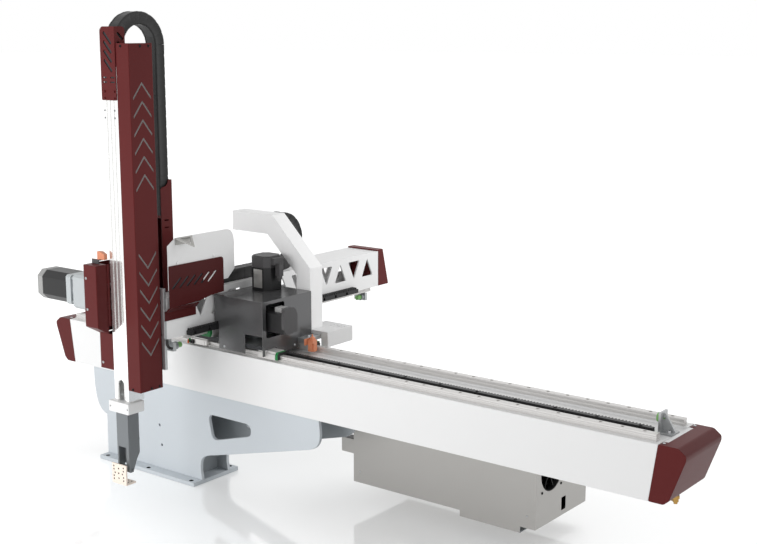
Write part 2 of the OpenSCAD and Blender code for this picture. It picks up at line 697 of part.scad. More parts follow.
// Crossbeam and what is fixed to it
module crossbeam() color(white) at_beam() {
    y0 = xb_y + 141;
    difference() {
        box([xb_x, xb_y, xb_z], [xb_x1, xb_y1, xb_top]);
        box([xb_x + xb_wall, xb_y - 1, xb_z + xb_wall + 4], [xb_x1 - xb_wall, xb_y1 + 1, xb_top - xb_wall]);
        for (i = [0:floor((xb_l - 172) / tri_pitch)]) let (y = y0 + i * tri_pitch, s = i % 2 == 0 ? 1 : -1, m = xb_z + 77)
            slab_x(xb_x - 1, xb_w + 2) polygon(rounded([[y - 30, m + s * 31], [y, m - s * 31], [y + 30, m + s * 31]], 5, 3));
    }
}
module crossbeam_rails() color(steel) at_beam() {
    for (x = [xb_x + rail_in, xb_x1 - rail_in]) translate([x, xb_y + 100, xb_z]) mirror([0, 0, 1])
        rotate([0, 0, 90]) rail(xb_l - 122);
}
module crossbeam_rack() color(dark) at_beam() {
    difference() {
        translate([0, 0, xb_z + rack_w]) slab_x(xb_x1, rack_w) rack_outline(xb_y + 79, xb_y1 - 138, cp_y);
        for (y = [xb_y + 97:rail_pitch:xb_y1 - 148]) {
            rod_x([xb_x1 - 1, y, xb_z + 7], 6, rack_w + 2);
            rod_x([xb_x1 + rack_w - 6, y, xb_z + 7], 10, 7);
        }
    }
}
module crossbeam_cap() color(red) at_beam() {
    slab_x(xb_x, xb_w) polygon([[xb_y1, xb_z], [xb_y1 + 57, xb_z], [xb_y1 + 59, xb_z + 4], [xb_y1 + 27, xb_top + 5],
        [xb_y1 - 6, xb_top + 5], [xb_y1 - 6, xb_top], [xb_y1, xb_top]]);
}
// Buffer and hanger under the crossbeam, facing +Y
module cross_buffer() {
    box([-36, -42, -48], [-6, -30, 0]);
    box([-7, -42, -48], [14, -30, -22]);
    rod_y([0, -34, -35], 24, 17);
    rod_y([0, -17, -35], 17, 17);
}
module crossbeam_buffers() color(green) at_beam() {
    translate([xb_x1 - 34, xb_y + 85, xb_z]) cross_buffer();
    translate([xb_x1 - 34, xb_y1 - 80, xb_z]) mirror([0, 1, 0]) cross_buffer();
}
plate_x = xb_x1 + 10;
module cable_plate() color(white) at_beam() {
    y = xb_y;
    slab_x(plate_x, sheet) polygon(concat([[y + 2, 353], [y + 2, 221], [y + 248, 221], [y + 278, 248]],
        bez([y + 278, 330], [y + 277, 355], [y + 270, 374], [y + 243, 374]), [[y + 34, 374]]));
    for (p = [[39, 300], [190, 301]]) rod_x([plate_x + sheet, y + p[0], p[1]], 8, 3);
    // Folded frame on the top edge
    box([plate_x + sheet, y + 32, 353], [plate_x + sheet + 3, y + 100, 373]);
    difference() {
        translate([plate_x + sheet, y + 66, 371]) rotate([0, 28, 0]) linear_extrude(3)
            polygon([[0, -34], [52, 0], [0, 34]]);
        translate([plate_x + sheet, y + 66, 371]) rotate([0, 28, 0]) translate([0, 0, -1]) linear_extrude(5)
            polygon([[6, -22], [38, 0], [6, 22]]);
    }
}
module slotted_plate() color(red) at_beam() {
    y = xb_y;
    x = plate_x + sheet;
    difference() {
        slab_x(x, 3) polygon(concat([[y + 3, 293], [y + 3, 168], [y + 123, 172], [y + 170, 180.5], [y + 227, 184]],
            bez([y + 227, 281], [y + 227, 289], [y + 223, 293], [y + 215, 293], 6)));
        for (i = [0:5]) let (s = y + 14 + i * 29.3) slab_x(x - 1, 5)
            polygon(rounded([[s - 3, 226], [s + 3, 222], [s + 39, 252], [s + 33, 256]], 3, 3));
    }
    // Bend back to the crossbeam's side, and its flange
    slab_y(y, 120) polygon([[x, 168], [x + 3, 168], [x + 3, 166], [xb_x1 + 3, 153], [xb_x1, 153], [xb_x1, 157]]);
    difference() {
        box([xb_x1, y - 6, 129], [xb_x1 + 3, y + 118, 157]);
        for (q = [19, 97]) rod_x([xb_x1 - 1, y + q, 134.5], 6, 5);
    }
    for (q = [19, 97]) rod_x([xb_x1, y + q, 134.5], 5.9, 4);
}
module chain_mast() color(red) at_beam() {
    x = lc_x - 5;
    x1 = lc_x + chain_w + 5;
    y1 = lc_y + chain_R + 6.5;
    z1 = mast_z;
    box([x, y1 - 3, xb_top], [x1, y1, z1]);
    box([x, y1 - 45, xb_top], [x + 3, y1, z1 - 20]);
    difference() {
        slab_x(x1 - 3, 3) polygon(concat([[y1 - 45, xb_top], [y1, xb_top], [y1, z1], [y1 - 15, z1]],
            bez([y1 - 15, z1 - 2], [y1 - 17, z1 - 15], [y1 - 28, z1 - 20], [y1 - 37, z1 - 20], 6), [[y1 - 45, z1 - 25]]));
        for (z = [lc_fix - 37, lc_fix - 15]) slab_x(x1 - 4, 5) polygon(rounded([[y1 - 34, z - 2.5], [y1 - 16, z - 2.5],
            [y1 - 16, z + 2.5], [y1 - 34, z + 2.5]], 2.5, 3));
    }
    box([x + 2, y1 - 43, lc_fix - 8], [x1 - 2, y1 - 2, lc_fix]);
    box([x, y1 - 45, xb_top], [x1, y1, xb_top + 3]);
}
module head_plate() color(steel) at_beam() {
    x = arm_x - 64;
    difference() {
        box([x, head_y, head_z], [xb_x1, xb_y, head_z + head_h]);
        for (p = [[xb_x + 14, xb_z + 14], [xb_x1 - 14, xb_z + 14], [xb_x + 14, xb_top - 14], [xb_x1 - 14, xb_top - 14]])
            rod_y([p[0], head_y - 1, p[1]], 9, head_t + 2);
    }
    // Bracket across, that the lift gearbox bolts to
    difference() {
        box([arm_x - 66, lp_y - 50, lp_z - 56], [arm_x - 56, head_y + 1, lp_z + 22]);
        rod_x([arm_x - 67, lp_y, lp_z], shaft_d + 16, 12);
    }
}
gb_x = arm_x - 66;
module lift_gearbox() color("#CCD1D3") at_beam() {
    difference() {
        translate([gb_x, lp_y, lp_z]) rotate([0, -90, 0]) {
            square_bar(104, 8, 73);
            translate([0, 0, 73]) cylinder(d = 76, h = 19);
            translate([0, 0, 92]) square_bar(lift_s, 6, 22);
            for (a = [45:90:315]) rotate([0, 0, a]) translate([50, 0, 73]) cylinder(d = 9, h = 19);
        }
        rod_x([gb_x - 12, lp_y, lp_z], shaft_d + 2 * fit, 13);
    }
}
module lift_servo() color(dark) at_beam() {
    translate([gb_x - 114, lp_y, lp_z]) rotate([0, -90, 0]) servo(lift_s, 138, 28);
}
module lift_pinion() color("#8A8D90") at_beam() {
    translate([lp_x, lp_y, lp_z]) rotate([0, -90, 0]) rotate([0, 0, -90]) pinion(lp_x - gb_x + 11);
}
module gearbox_cover() color(red) at_beam() {
    x = gb_x + 6;
    x1 = arm_x - 4;
    y = arm_y - 50;
    z1 = lp_z + 94;
    difference() {
        slab_x(x, x1 - x) polygon([[arm_y, lp_z - 119], [y, lp_z - 91], [y, z1], [head_y, z1], [head_y, lp_z - 119]]);
        slab_x(x + sheet, x1 - x - 2 * sheet) polygon([[head_y + 1, lp_z - 120], [arm_y, lp_z - 117], [y + sheet, lp_z - 89],
            [y + sheet, z1 - sheet], [head_y + 1, z1 - sheet]]);
        box([x + sheet, arm_y - 9, lp_z - 125], [x1 + 1, head_y + 1, z1 + 1]);
        box([x - 1, lp_y - 53, lp_z - 57], [x + sheet + 1, head_y + 1, lp_z + 23]);
    }
    box([x + 2, arm_y, lp_z - 226], [x1 + 3, arm_y + sheet, lp_z - 117]);
    box([x + 2, arm_y, lp_z - 226], [x + 2 + sheet, head_y, lp_z - 122]);
}
module lift_sensor() color(orange) at_beam() {
    z = lp_z + 94;
    box([gb_x + 10, arm_y - 20, z], [gb_x + 40, arm_y - 17, z + 14]);
    slab_y(arm_y - 17, 12) polygon([[arm_x - 35, z + 14], [arm_x - 4, z + 14], [arm_x - 4, z + 30], [arm_x - 20, z + 37],
        [arm_x - 35, z + 37]]);
    box([arm_x - 35, arm_y - 20, z + 10], [arm_x - 24, arm_y - 5, z + 14]);
}
module lift_blocks() color(steel) at_beam() {
    for (z = [head_z + 4, head_z + head_h - 4 - block_all]) translate([arm_c, arm_y1, z])
        upright() block();
}

// Drag chain of the lift
module lift_chain_fixed() color(dark) at_beam() {
    box([lc_x, lc_y + chain_r, lc_fix], [lc_x + chain_w, lc_y + chain_R, lc_z]);
}
module lift_chain_bend() color(dark) at_beam() {
    translate([lc_x, lc_y, lc_z]) rotate([90, 0, 90]) half_ring();
}
module lift_chain_moving() color(dark) at_beam() {
    box([lc_x, lc_y - chain_R, arm_top], [lc_x + chain_w, lc_y - chain_r, lc_z]);
}

// Arm
module arm_section() {
    w = arm_w;
    d = arm_d;
    difference() {
        square([w, d]);
        for (x = [w / 4, w / 2, w * 3 / 4]) translate([x - 2, -1]) square([4, 4]);
        for (y = [d / 3, d * 2 / 3]) translate([-1, y - 2]) square([4, 4]);
        for (x = [7, w / 2 + 2]) translate([x, 8]) square([w / 2 - 9, d - 16]);
    }
}
module arm_profile() color(white) at_beam() {
    difference() {
        translate([arm_x, arm_y, arm_z]) linear_extrude(arm_l) arm_section();
        rod_y([arm_x + 29, arm_y - 1, arm_z + 51], 28, 12);
        box([arm_x + 15, arm_y - 1, arm_z - 1], [arm_x + 43, arm_y + 11, arm_z + 51]);
    }
}
module arm_rail() color(steel) at_beam() {
    translate([arm_c, arm_y1, arm_z + 21]) upright() rail(arm_l - 31);
}
module arm_rack() color(dark) at_beam() {
    difference() {
        translate([arm_x - rack_w, lrack_y - rack_w, 0]) rack_upright();
        for (z = [arm_z + 41:rail_pitch * 2:arm_top - 30]) {
            rod_x([arm_x - rack_w - 1, lrack_y - 7, z], 6, rack_w + 2);
            rod_x([arm_x - rack_w - 1, lrack_y - 7, z], 10, 7);
        }
    }
}
// Rack along +Z with its teeth toward -Y
module rack_upright() {
    rotate([0, -90, 0]) mirror([0, 0, 1]) linear_extrude(rack_w) mirror([0, 1]) rack_outline(arm_z + 21, arm_top - 10, lp_z);
}
module chevron(y, z, s) {
    polygon([[y - 33, z - s * 21], [y, z + s * 21], [y + 33, z - s * 21], [y + 33, z - s * 28], [y, z + s * 14],
        [y - 33, z - s * 28]]);
}
module chevron_cover() color(red) at_beam() {
    x1 = arm_x1 + cov_w;
    y1 = arm_y + cov_d;
    z1 = cover_z + cov_l;
    c = arm_y + cov_d / 2 + 0.5;
    difference() {
        box([arm_x1, arm_y, cover_z], [x1, y1, z1]);
        box([arm_x1 - 1, arm_y + sheet, cover_z - 1], [x1 - sheet, y1 - sheet, z1 + 1]);
        box([arm_x1 - 1, y1 - sheet - 1, cover_z - 1], [x1 - 8, y1 + 1, z1 + 1]);
        for (i = [0:5]) slab_x(x1 - sheet - 1, sheet + 2) chevron(c, cover_z + 619 + i * 52, 1);
        for (i = [0:5]) slab_x(x1 - sheet - 1, sheet + 2) chevron(c, cover_z + 125 + i * 52, -1);
    }
}
// Slanting slot, from its upper end
module slant(x, z, w, h) {
    polygon(rounded([[x - 2, z - 3], [x + w - 3, z - h - 3], [x + w + 2, z - h + 3], [x + 3, z + 3]], 2.5, 3));
}
module top_bracket() color(red) at_beam() {
    z = arm_top - 94;
    z1 = z + 206;
    difference() {
        slab_y(arm_y - 3, 3) polygon(rounded([[arm_x - 2, z], [arm_x1 - 1, z], [arm_x1 - 1, z1], [arm_x + 7, z1],
            [arm_x - 2, z1 - 9]], 4, 3));
        for (i = [0:3]) slab_y(arm_y - 4, 5) slant(arm_x + 13, arm_top + 97 - i * 25.7, 33, 33);
        for (x = [4, 37]) for (q = [51, 64]) slab_y(arm_y - 4, 5) polygon(rounded([[arm_x + x, z + q - 2],
            [arm_x + x + 18, z + q - 2], [arm_x + x + 18, z + q + 2], [arm_x + x, z + q + 2]], 2, 3));
    }
    difference() {
        slab_x(arm_x1 - 4, 3) polygon(concat([[arm_y - 1, arm_top], [arm_y + 36, arm_top]],
            bez([arm_y + 36, z1 - 12], [arm_y + 36, z1 - 5], [arm_y + 31, z1], [arm_y + 24, z1], 6), [[arm_y - 1, z1]]));
        for (i = [0:1]) slab_x(arm_x1 - 5, 5) slant(arm_y + 8, arm_top + 95 - i * 25.7, 21, 20);
    }
    for (x = [11, 52]) for (q = [5, 25]) rod_y([arm_x + x, arm_y - 6, z + q], 7, 3);
}
module end_block() color(white) at_beam() {
    difference() {
        slab_y(arm_y - 12, arm_d + 2) polygon(rounded([[arm_x - 16, end_z], [arm_x1 + 10, end_z], [arm_x1 + 10, arm_z],
            [arm_x - 16, arm_z]], 3, 3));
        for (x = [-10, arm_w + 4]) rod_y([arm_x + x, arm_y - 13, end_z + 16], 5, 12);
    }
}
module flip_unit() color("#8C9092") at_beam() {
    y = flip_y;
    z = flip_z;
    difference() {
        slab_x(flip_x, flip_w) polygon(rounded([[y, end_z], [y, z + 2], [y + 4, z - 1], [y + 16, z - 1], [y + 29, z + 33],
            [y + 43, z + 55], [y + 43, end_z]], 2, 2));
        box([flip_c - 16, y - 1, z - 2], [flip_c + 16, y + 23, z + 76]);
        rod_x([flip_x + 4, pin_y, pin_z], pin_d + 2 * fit, flip_w + 2);
    }
}
module flip_lever() color("#5F6466") at_beam() {
    slab_x(flip_c - 13, 26) polygon(rounded([[tool_y + tool_t, pin_z - 9], [pin_y + 4, pin_z - 9],
        [pin_y + 9, pin_z - 4], [pin_y + 9, pin_z + 4], [pin_y + 4, pin_z + 9], [tool_y + tool_t, pin_z + 9]], 2, 3));
    rod_x([flip_x + 6, pin_y, pin_z], pin_d, flip_w - 8);
}
tool_z = pin_z - 43;
module tool_plate() color("#FDF3EA") at_beam() {
    difference() {
        union() {
            box([tool_x, tool_y, tool_z], [tool_x + tool_w, tool_y + tool_t, tool_z + tool_h]);
            box([tool_x, tool_y, tool_z], [tool_x + tool_w, tool_y + 38, tool_z + tool_t]);
        }
        for (p = [[21, 20], [21, 10], [21, -10], [21, -20], [-21, 20], [-21, 10], [-21, -10], [-21, -20], [16, 0],
            [-16, 0], [0, 15], [0, 0], [0, -15]])
            rod_y([flip_c + p[0], tool_y - 1, tool_z + tool_h / 2 + 2 + p[1]], tool_hole_d, tool_t + 2);
        for (x = [-22, 22]) for (y = [15, 30]) translate([flip_c + x, tool_y + y, tool_z - 1])
            cylinder(d = tool_hole_d, h = tool_t + 2);
    }
}

base_plate();
side_plate_front();
side_plate_rear();
pedestal_webs();
traverse_beam();
beam_rails();
traverse_rack();
end_cap_left();
end_cap_right();
stop_left();
stop_right();
beam_buffers();
air_fitting();
electrics_box();
box_fan();
fan_rotor();
carriage_plate();
traverse_blocks();
block_seals();
drive_cover();
traverse_servo();
traverse_gearbox();
traverse_pinion();
crosswise_servo();
crosswise_mount();
crosswise_pinion();
crosswise_blocks();
chain_arch();
chain_tray();
carriage_sensor();
cross_chain_upper();
cross_chain_bend();
cross_chain_lower();
crossbeam();
crossbeam_rails();
crossbeam_rack();
crossbeam_cap();
crossbeam_buffers();
cable_plate();
slotted_plate();
chain_mast();
head_plate();
lift_servo();
lift_gearbox();
lift_pinion();
gearbox_cover();
lift_sensor();
lift_blocks();
lift_chain_fixed();
lift_chain_bend();
lift_chain_moving();
arm_profile();
arm_rail();
arm_rack();
chevron_cover();
top_bracket();
end_block();
flip_unit();
flip_lever();
tool_plate();
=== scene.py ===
"""Looks of a three-axis take-out robot: bevelled copies of its CAD pieces, worked surfaces for its drag
chains, fittings, screws and plates, and procedural finishes. Sizes are in metres, in the part's frame."""

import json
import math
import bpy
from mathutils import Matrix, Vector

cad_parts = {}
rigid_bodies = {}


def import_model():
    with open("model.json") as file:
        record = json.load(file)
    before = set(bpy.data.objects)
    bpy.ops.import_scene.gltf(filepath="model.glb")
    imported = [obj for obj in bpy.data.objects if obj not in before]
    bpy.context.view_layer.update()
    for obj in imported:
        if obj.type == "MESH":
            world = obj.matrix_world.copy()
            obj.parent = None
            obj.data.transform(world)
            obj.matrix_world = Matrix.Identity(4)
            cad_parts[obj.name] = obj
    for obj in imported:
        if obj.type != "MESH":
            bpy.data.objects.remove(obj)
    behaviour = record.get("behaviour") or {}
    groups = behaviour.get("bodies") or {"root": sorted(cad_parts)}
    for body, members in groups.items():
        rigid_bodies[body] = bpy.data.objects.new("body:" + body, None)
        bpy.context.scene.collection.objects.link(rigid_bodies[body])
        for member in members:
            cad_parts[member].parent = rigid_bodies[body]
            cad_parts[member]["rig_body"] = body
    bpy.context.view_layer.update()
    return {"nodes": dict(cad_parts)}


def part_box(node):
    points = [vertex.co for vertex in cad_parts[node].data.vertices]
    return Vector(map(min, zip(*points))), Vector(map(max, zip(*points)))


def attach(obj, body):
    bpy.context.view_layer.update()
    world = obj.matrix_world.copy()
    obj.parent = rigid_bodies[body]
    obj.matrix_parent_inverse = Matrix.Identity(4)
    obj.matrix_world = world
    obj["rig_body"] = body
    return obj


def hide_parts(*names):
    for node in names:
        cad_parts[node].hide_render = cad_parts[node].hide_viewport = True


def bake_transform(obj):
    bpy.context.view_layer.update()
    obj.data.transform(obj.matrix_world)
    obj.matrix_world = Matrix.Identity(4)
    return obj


bl_info = {
    "name": "Take-out Robot Looks",
    "version": (1, 0, 0),
    "blender": (4, 5, 0),
    "location": "View3D > Sidebar > Robot",
    "description": "Dresses the packed take-out robot with finishes, chains, fittings and fasteners",
    "category": "Object",
}

import bmesh
import bpy
import numpy as np
from mathutils import Vector

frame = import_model()
NODES = frame["nodes"]
MM = 0.001
# Edges sharper than this are bevelled and shaded as edges
SHARP = math.radians(32)
# Points nearer than this are welded
WELD = 2e-6
# Most that a bevel takes of the narrower face beside its edge, and of the room at its ends
FACE_SHARE = 0.2
ROOM_SHARE = 0.4
# Factor by which bevels that fold a face shrink, and how often
SHRINK = 0.7
TRIES = 7
# Pitch of the screws in the rails, and their width and depth
RAIL_PITCH = 0.06
RAIL_SCREW = (0.0092, 0.0035)
# Thickness of the drag chains
CHAIN_T = 0.037
WHITE = (1, 1, 1, 1)
# Half the floor's side, and its height just under the base plate
FLOOR_HALF = 60
FLOOR_TOP = -0.0008

# The beam's front top left corner: most places below are given from it, in millimetres
BEAM_LOW, BEAM_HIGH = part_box("traverse_beam")
CORNER = np.array([BEAM_LOW.x, BEAM_LOW.y, BEAM_HIGH.z])


def at(x, y, z):
    """A place given from the beam's front top left corner in millimetres, in the part's frame in metres."""
    return CORNER + np.array([x, y, z], float) * MM


def ats(points):
    """Many places given like the one of at."""
    return CORNER + np.asarray(points, float) * MM


# Surfaces worked out on grids

def lattice(rows, cols, close_rows=False, close_cols=False):
    """Faces of a grid of points: each joins a point and the next in its row to the same two in the next."""
    i = np.arange(rows if close_rows else rows - 1)[:, None]
    j = np.arange(cols if close_cols else cols - 1)[None, :]
    a = i * cols + j
    b = i * cols + (j + 1) % cols
    c = (i + 1) % rows * cols + (j + 1) % cols
    d = (i + 1) % rows * cols + j
    return np.stack([a, b, c, d], -1).reshape(-1, 4)


def rounded_box(low, high, radius, n=2):
    """Box with rounded edges: a point is the box's half size less the radius, in its octant,
    plus the radius times a unit direction of longitude u and latitude v. The two poles close it."""
    low, high = np.asarray(low, float), np.asarray(high, float)
    half, centre = (high - low) / 2, (high + low) / 2
    radius = min(radius, half.min() * 0.98)
    turn = np.concatenate([np.linspace(q, q + 1, n + 1) for q in range(4)]) * math.pi / 2
    lift = np.concatenate([np.linspace(-1, 0, n + 1), np.linspace(0, 1, n + 1)]) * math.pi / 2
    side_x = np.repeat([1, -1, -1, 1], n + 1)
    side_y = np.repeat([1, 1, -1, -1], n + 1)
    side_z = np.repeat([-1, 1], n + 1)
    v, u = np.meshgrid(lift, turn, indexing="ij")
    direction = np.stack([np.cos(v) * np.cos(u), np.cos(v) * np.sin(u), np.sin(v)], -1)
    side = np.stack(np.broadcast_arrays(side_x[None, :], side_y[None, :], side_z[:, None]), -1)
    points = centre + side * (half - radius) + radius * direction
    foot = np.broadcast_to(centre * [1, 1, 0] + [0, 0, low[2]], (1, len(turn), 3))
    top = np.broadcast_to(centre * [1, 1, 0] + [0, 0, high[2]], (1, len(turn), 3))
    grid = np.concatenate([foot, points, top])
    return grid.reshape(-1, 3), lattice(grid.shape[0], grid.shape[1], close_cols=True)


def turned(profile, n=20, six=()):
    """Solid turned about +Z from (radius, height) pairs, given from the foot up. On the rows named in six the
    radius is a hexagon's: its flat's distance over the cosine of the angle from the flat's middle."""
    profile = np.asarray(profile, float)
    angle = np.arange(n) * 2 * math.pi / n
    flat = 1 / np.cos((angle + math.pi / 6) % (math.pi / 3) - math.pi / 6)
    ring = np.ones((len(profile), n))
    ring[list(six)] = flat
    r = profile[:, :1] * ring
    points = np.stack([r * np.cos(angle), r * np.sin(angle), np.broadcast_to(profile[:, 1:], r.shape)], -1)
    return points.reshape(-1, 3), lattice(len(profile), n, close_cols=True)


def swept(path, section, across):
    """Section of (across, outward) pairs carried along a path that lies in the plane square to across.
    Outward is across times the path's direction. The section may be a stack, one for each point."""
    path = np.asarray(path, float)
    section = np.broadcast_to(section, (len(path),) + np.shape(section)[-2:])
    across = np.asarray(across, float) / np.linalg.norm(across)
    along = np.gradient(path, axis=0)
    along /= np.linalg.norm(along, axis=1)[:, None]
    outward = np.cross(across, along)
    ring = path[:, None] + section[..., :1] * across + section[..., 1:] * outward[:, None]
    ends = [np.broadcast_to(p, (1, ring.shape[1], 3)) for p in (path[0], path[-1])]
    grid = np.concatenate([ends[0], ring, ends[1]])
    return grid.reshape(-1, 3), lattice(grid.shape[0], grid.shape[1], close_cols=True)


def circle(radii, n=16):
    """Sections of a round tube, one for each radius."""
    angle = np.arange(n) * 2 * math.pi / n
    return np.asarray(radii, float)[:, None, None] * np.stack([np.cos(angle), np.sin(angle)], -1)


def elbow(start, out, drop, run, fall, bend, n=7):
    """Path straight out for run, round a quarter circle of radius bend, then along drop for fall."""
    start, out, drop = (np.asarray(v, float) for v in (start, out, drop))
    a = np.linspace(0, math.pi / 2, n)[:, None]
    arc = start + out * run + out * bend * np.sin(a) + drop * bend * (1 - np.cos(a))
    return np.concatenate([[start], arc, [arc[-1] + drop * fall]])


def facing(part, axis, place=(0, 0, 0)):
    """Part drawn along +Z, turned to face axis and moved to place."""
    points, faces = part
    axis = np.asarray(axis, float) / np.linalg.norm(axis)
    side = np.cross([0, 0, 1.0] if abs(axis[2]) < 0.9 else [1.0, 0, 0], axis)
    side /= np.linalg.norm(side)
    basis = np.stack([side, np.cross(axis, side), axis])
    return points @ basis + np.asarray(place, float), faces


def scattered(part, places):
    """Copies of one part at many places, as one set of points and faces."""
    points, faces = part
    places = np.atleast_2d(places)
    shift = np.arange(len(places))[:, None, None] * len(points)
    return (places[:, None] + points).reshape(-1, 3), (faces[None] + shift).reshape(-1, 4)


def joined(*parts):
    """Several parts as one set of points and faces."""
    starts = np.cumsum([0] + [len(p[0]) for p in parts[:-1]])
    points = np.concatenate([p[0] for p in parts])
    return points, np.concatenate([p[1] + s for p, s in zip(parts, starts)])


def socket_head(d, h, n=12):
    """Cap screw head: a cylinder with a bevelled rim and a hexagonal socket."""
    r = d / 2
    return turned([(0, 0), (r, 0), (r, h * 0.82), (r * 0.9, h), (r * 0.52, h), (r * 0.5, h * 0.4),
                   (0, h * 0.35)], n, six=(4, 5))


def dome_head(d, h, n=16):
    """Button head: a low dome, height (1 - (r/R)^2), with a hexagonal socket."""
    r = d / 2
    return turned([(0, 0), (r, 0), (r, h * 0.15), (r * 0.9, h * 0.5), (r * 0.7, h * 0.85), (r * 0.45, h),
                   (r * 0.38, h * 0.4), (0, h * 0.35)], n, six=(5, 6))


def flat_head(d, h, n=12):
    """Screw that fills a counterbore: a disc with a hexagonal socket."""
    r = d / 2
    return turned([(0, 0), (r, 0), (r, h), (r * 0.5, h), (r * 0.48, h * 0.5), (0, h * 0.45)], n, six=(3, 4))


# Pieces

def shade(mesh):
    """Smooth faces with sharp edges."""
    mesh.polygons.foreach_set("use_smooth", np.ones(len(mesh.polygons), bool))
    mesh.set_sharp_from_angle(angle=SHARP)


def piece(name, part, coat, body, replaces=()):
    """New object from points and faces, welded and turned outward, in a finish and on a body."""
    mesh = bpy.data.meshes.new(name)
    mesh.from_pydata(part[0].tolist(), [], part[1].tolist())
    bm = bmesh.new()
    bm.from_mesh(mesh)
    bmesh.ops.remove_doubles(bm, verts=bm.verts, dist=WELD)
    bmesh.ops.recalc_face_normals(bm, faces=bm.faces)
    bm.to_mesh(mesh)
    bm.free()
    shade(mesh)
    mesh.materials.append(FINISHES[coat])
    obj = bpy.data.objects.new(name, mesh)
    bpy.context.scene.collection.objects.link(obj)
    if replaces:
        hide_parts(*replaces)
    if body:
        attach(obj, body)
    return obj


def room(edge):
    """Shortest other edge at the ends of an edge, without those that run on along it."""
    shortest = 1.0
    for end in edge.verts:
        along = (edge.other_vert(end).co - end.co).normalized()
        for other in end.link_edges:
            if other is edge:
                continue
            away = other.other_vert(end).co - end.co
            if abs(away.normalized().dot(along)) < 0.8:
                shortest = min(shortest, away.length)
    return shortest


def overlapping(obj):
    """Whether a finished face folds over itself, or a corner's normal points into its face. A folded
    face's triangles have more area than the face, whose own area counts folded parts as negative."""
    state = obj.evaluated_get(bpy.context.evaluated_depsgraph_get())
    mesh = state.to_mesh()
    mesh.calc_loop_triangles()
    count = len(mesh.polygons)
    area = np.zeros(count)
    mesh.polygons.foreach_get("area", area)
    part, owner = np.zeros(len(mesh.loop_triangles)), np.zeros(len(mesh.loop_triangles), int)
    mesh.loop_triangles.foreach_get("area", part)
    mesh.loop_triangles.foreach_get("polygon_index", owner)
    folded = np.bincount(owner, part, count) > area * 1.01 + 4e-6
    flat, corner, sides = np.zeros(count * 3), np.zeros(len(mesh.loops) * 3), np.zeros(count, int)
    mesh.polygons.foreach_get("normal", flat)
    mesh.corner_normals.foreach_get("vector", corner)
    mesh.polygons.foreach_get("loop_total", sides)
    turn = (np.repeat(flat.reshape(-1, 3), sides, axis=0) * corner.reshape(-1, 3)).sum(1)
    inward = (turn < 0) & (np.repeat(area, sides) > 1e-5)
    state.to_mesh_clear()
    return bool(folded.any() or inward.any())


def refined(node, coat, width):
    """Merged copy of a CAD node with bevelled edges. An edge's bevel is the smallest of width, a share of
    the narrower face beside it, whose width is its area over the edge's length, and a share of the room
    at its ends. If faces still overlap, all bevels shrink. Faces whose middle lies in one of the node's
    zones take the zone's finish."""
    source = NODES[node].data
    co = np.zeros(len(source.vertices) * 3)
    source.vertices.foreach_get("co", co)
    mesh = bpy.data.meshes.new(node + "_finished")
    mesh.from_pydata(co.reshape(-1, 3).tolist(), [], [tuple(p.vertices) for p in source.polygons])
    bm = bmesh.new()
    bm.from_mesh(mesh)
    bmesh.ops.remove_doubles(bm, verts=bm.verts, dist=WELD)
    bmesh.ops.dissolve_degenerate(bm, dist=1e-6, edges=bm.edges)
    bmesh.ops.dissolve_limit(bm, angle_limit=math.radians(0.6), verts=bm.verts, edges=bm.edges)
    bm.faces.index_update()
    area = {f.index: f.calc_area() for f in bm.faces}
    weight = bm.edges.layers.float.new("bevel_weight_edge")
    for e in bm.edges:
        if len(e.link_faces) == 2 and e.calc_face_angle(0) > SHARP:
            length = max(e.calc_length(), 1e-5)
            narrow = min(area[f.index] for f in e.link_faces) / length
            by_face = max(0.08, narrow * FACE_SHARE / width)
            by_room = max(0.05, room(e) * ROOM_SHARE / width)
            e[weight] = min(1.0, by_face, by_room)
    mesh.materials.append(FINISHES[coat])
    for k, (other, low, high) in enumerate(ZONES.get(node, ())):
        mesh.materials.append(FINISHES[other])
        low, high = at(*low), at(*high)
        for f in bm.faces:
            middle = np.array(f.calc_center_bounds())
            if (middle > low).all() and (middle < high).all():
                f.material_index = k + 1
    bm.to_mesh(mesh)
    bm.free()
    shade(mesh)
    obj = bpy.data.objects.new(node + "_finished", mesh)
    bpy.context.scene.collection.objects.link(obj)
    rim = obj.modifiers.new("rim", "BEVEL")
    rim.width, rim.segments, rim.limit_method = width, 2, "WEIGHT"
    rim.use_clamp_overlap = False
    rim.harden_normals = True
    for _ in range(TRIES):
        if not overlapping(obj):
            break
        rim.width *= SHRINK
    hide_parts(node)
    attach(obj, NODES[node]["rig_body"])


# Finishes

FINISHES = {}
# How far the roughness drifts either way
ROUGH_SPREAD = 0.06


def colour(code):
    """Linear colour of a written one."""
    c = np.array([int(code[i:i + 2], 16) for i in (1, 3, 5)]) / 255
    return tuple(np.where(c <= 0.04045, c / 12.92, ((c + 0.055) / 1.055) ** 2.4)) + (1.0,)


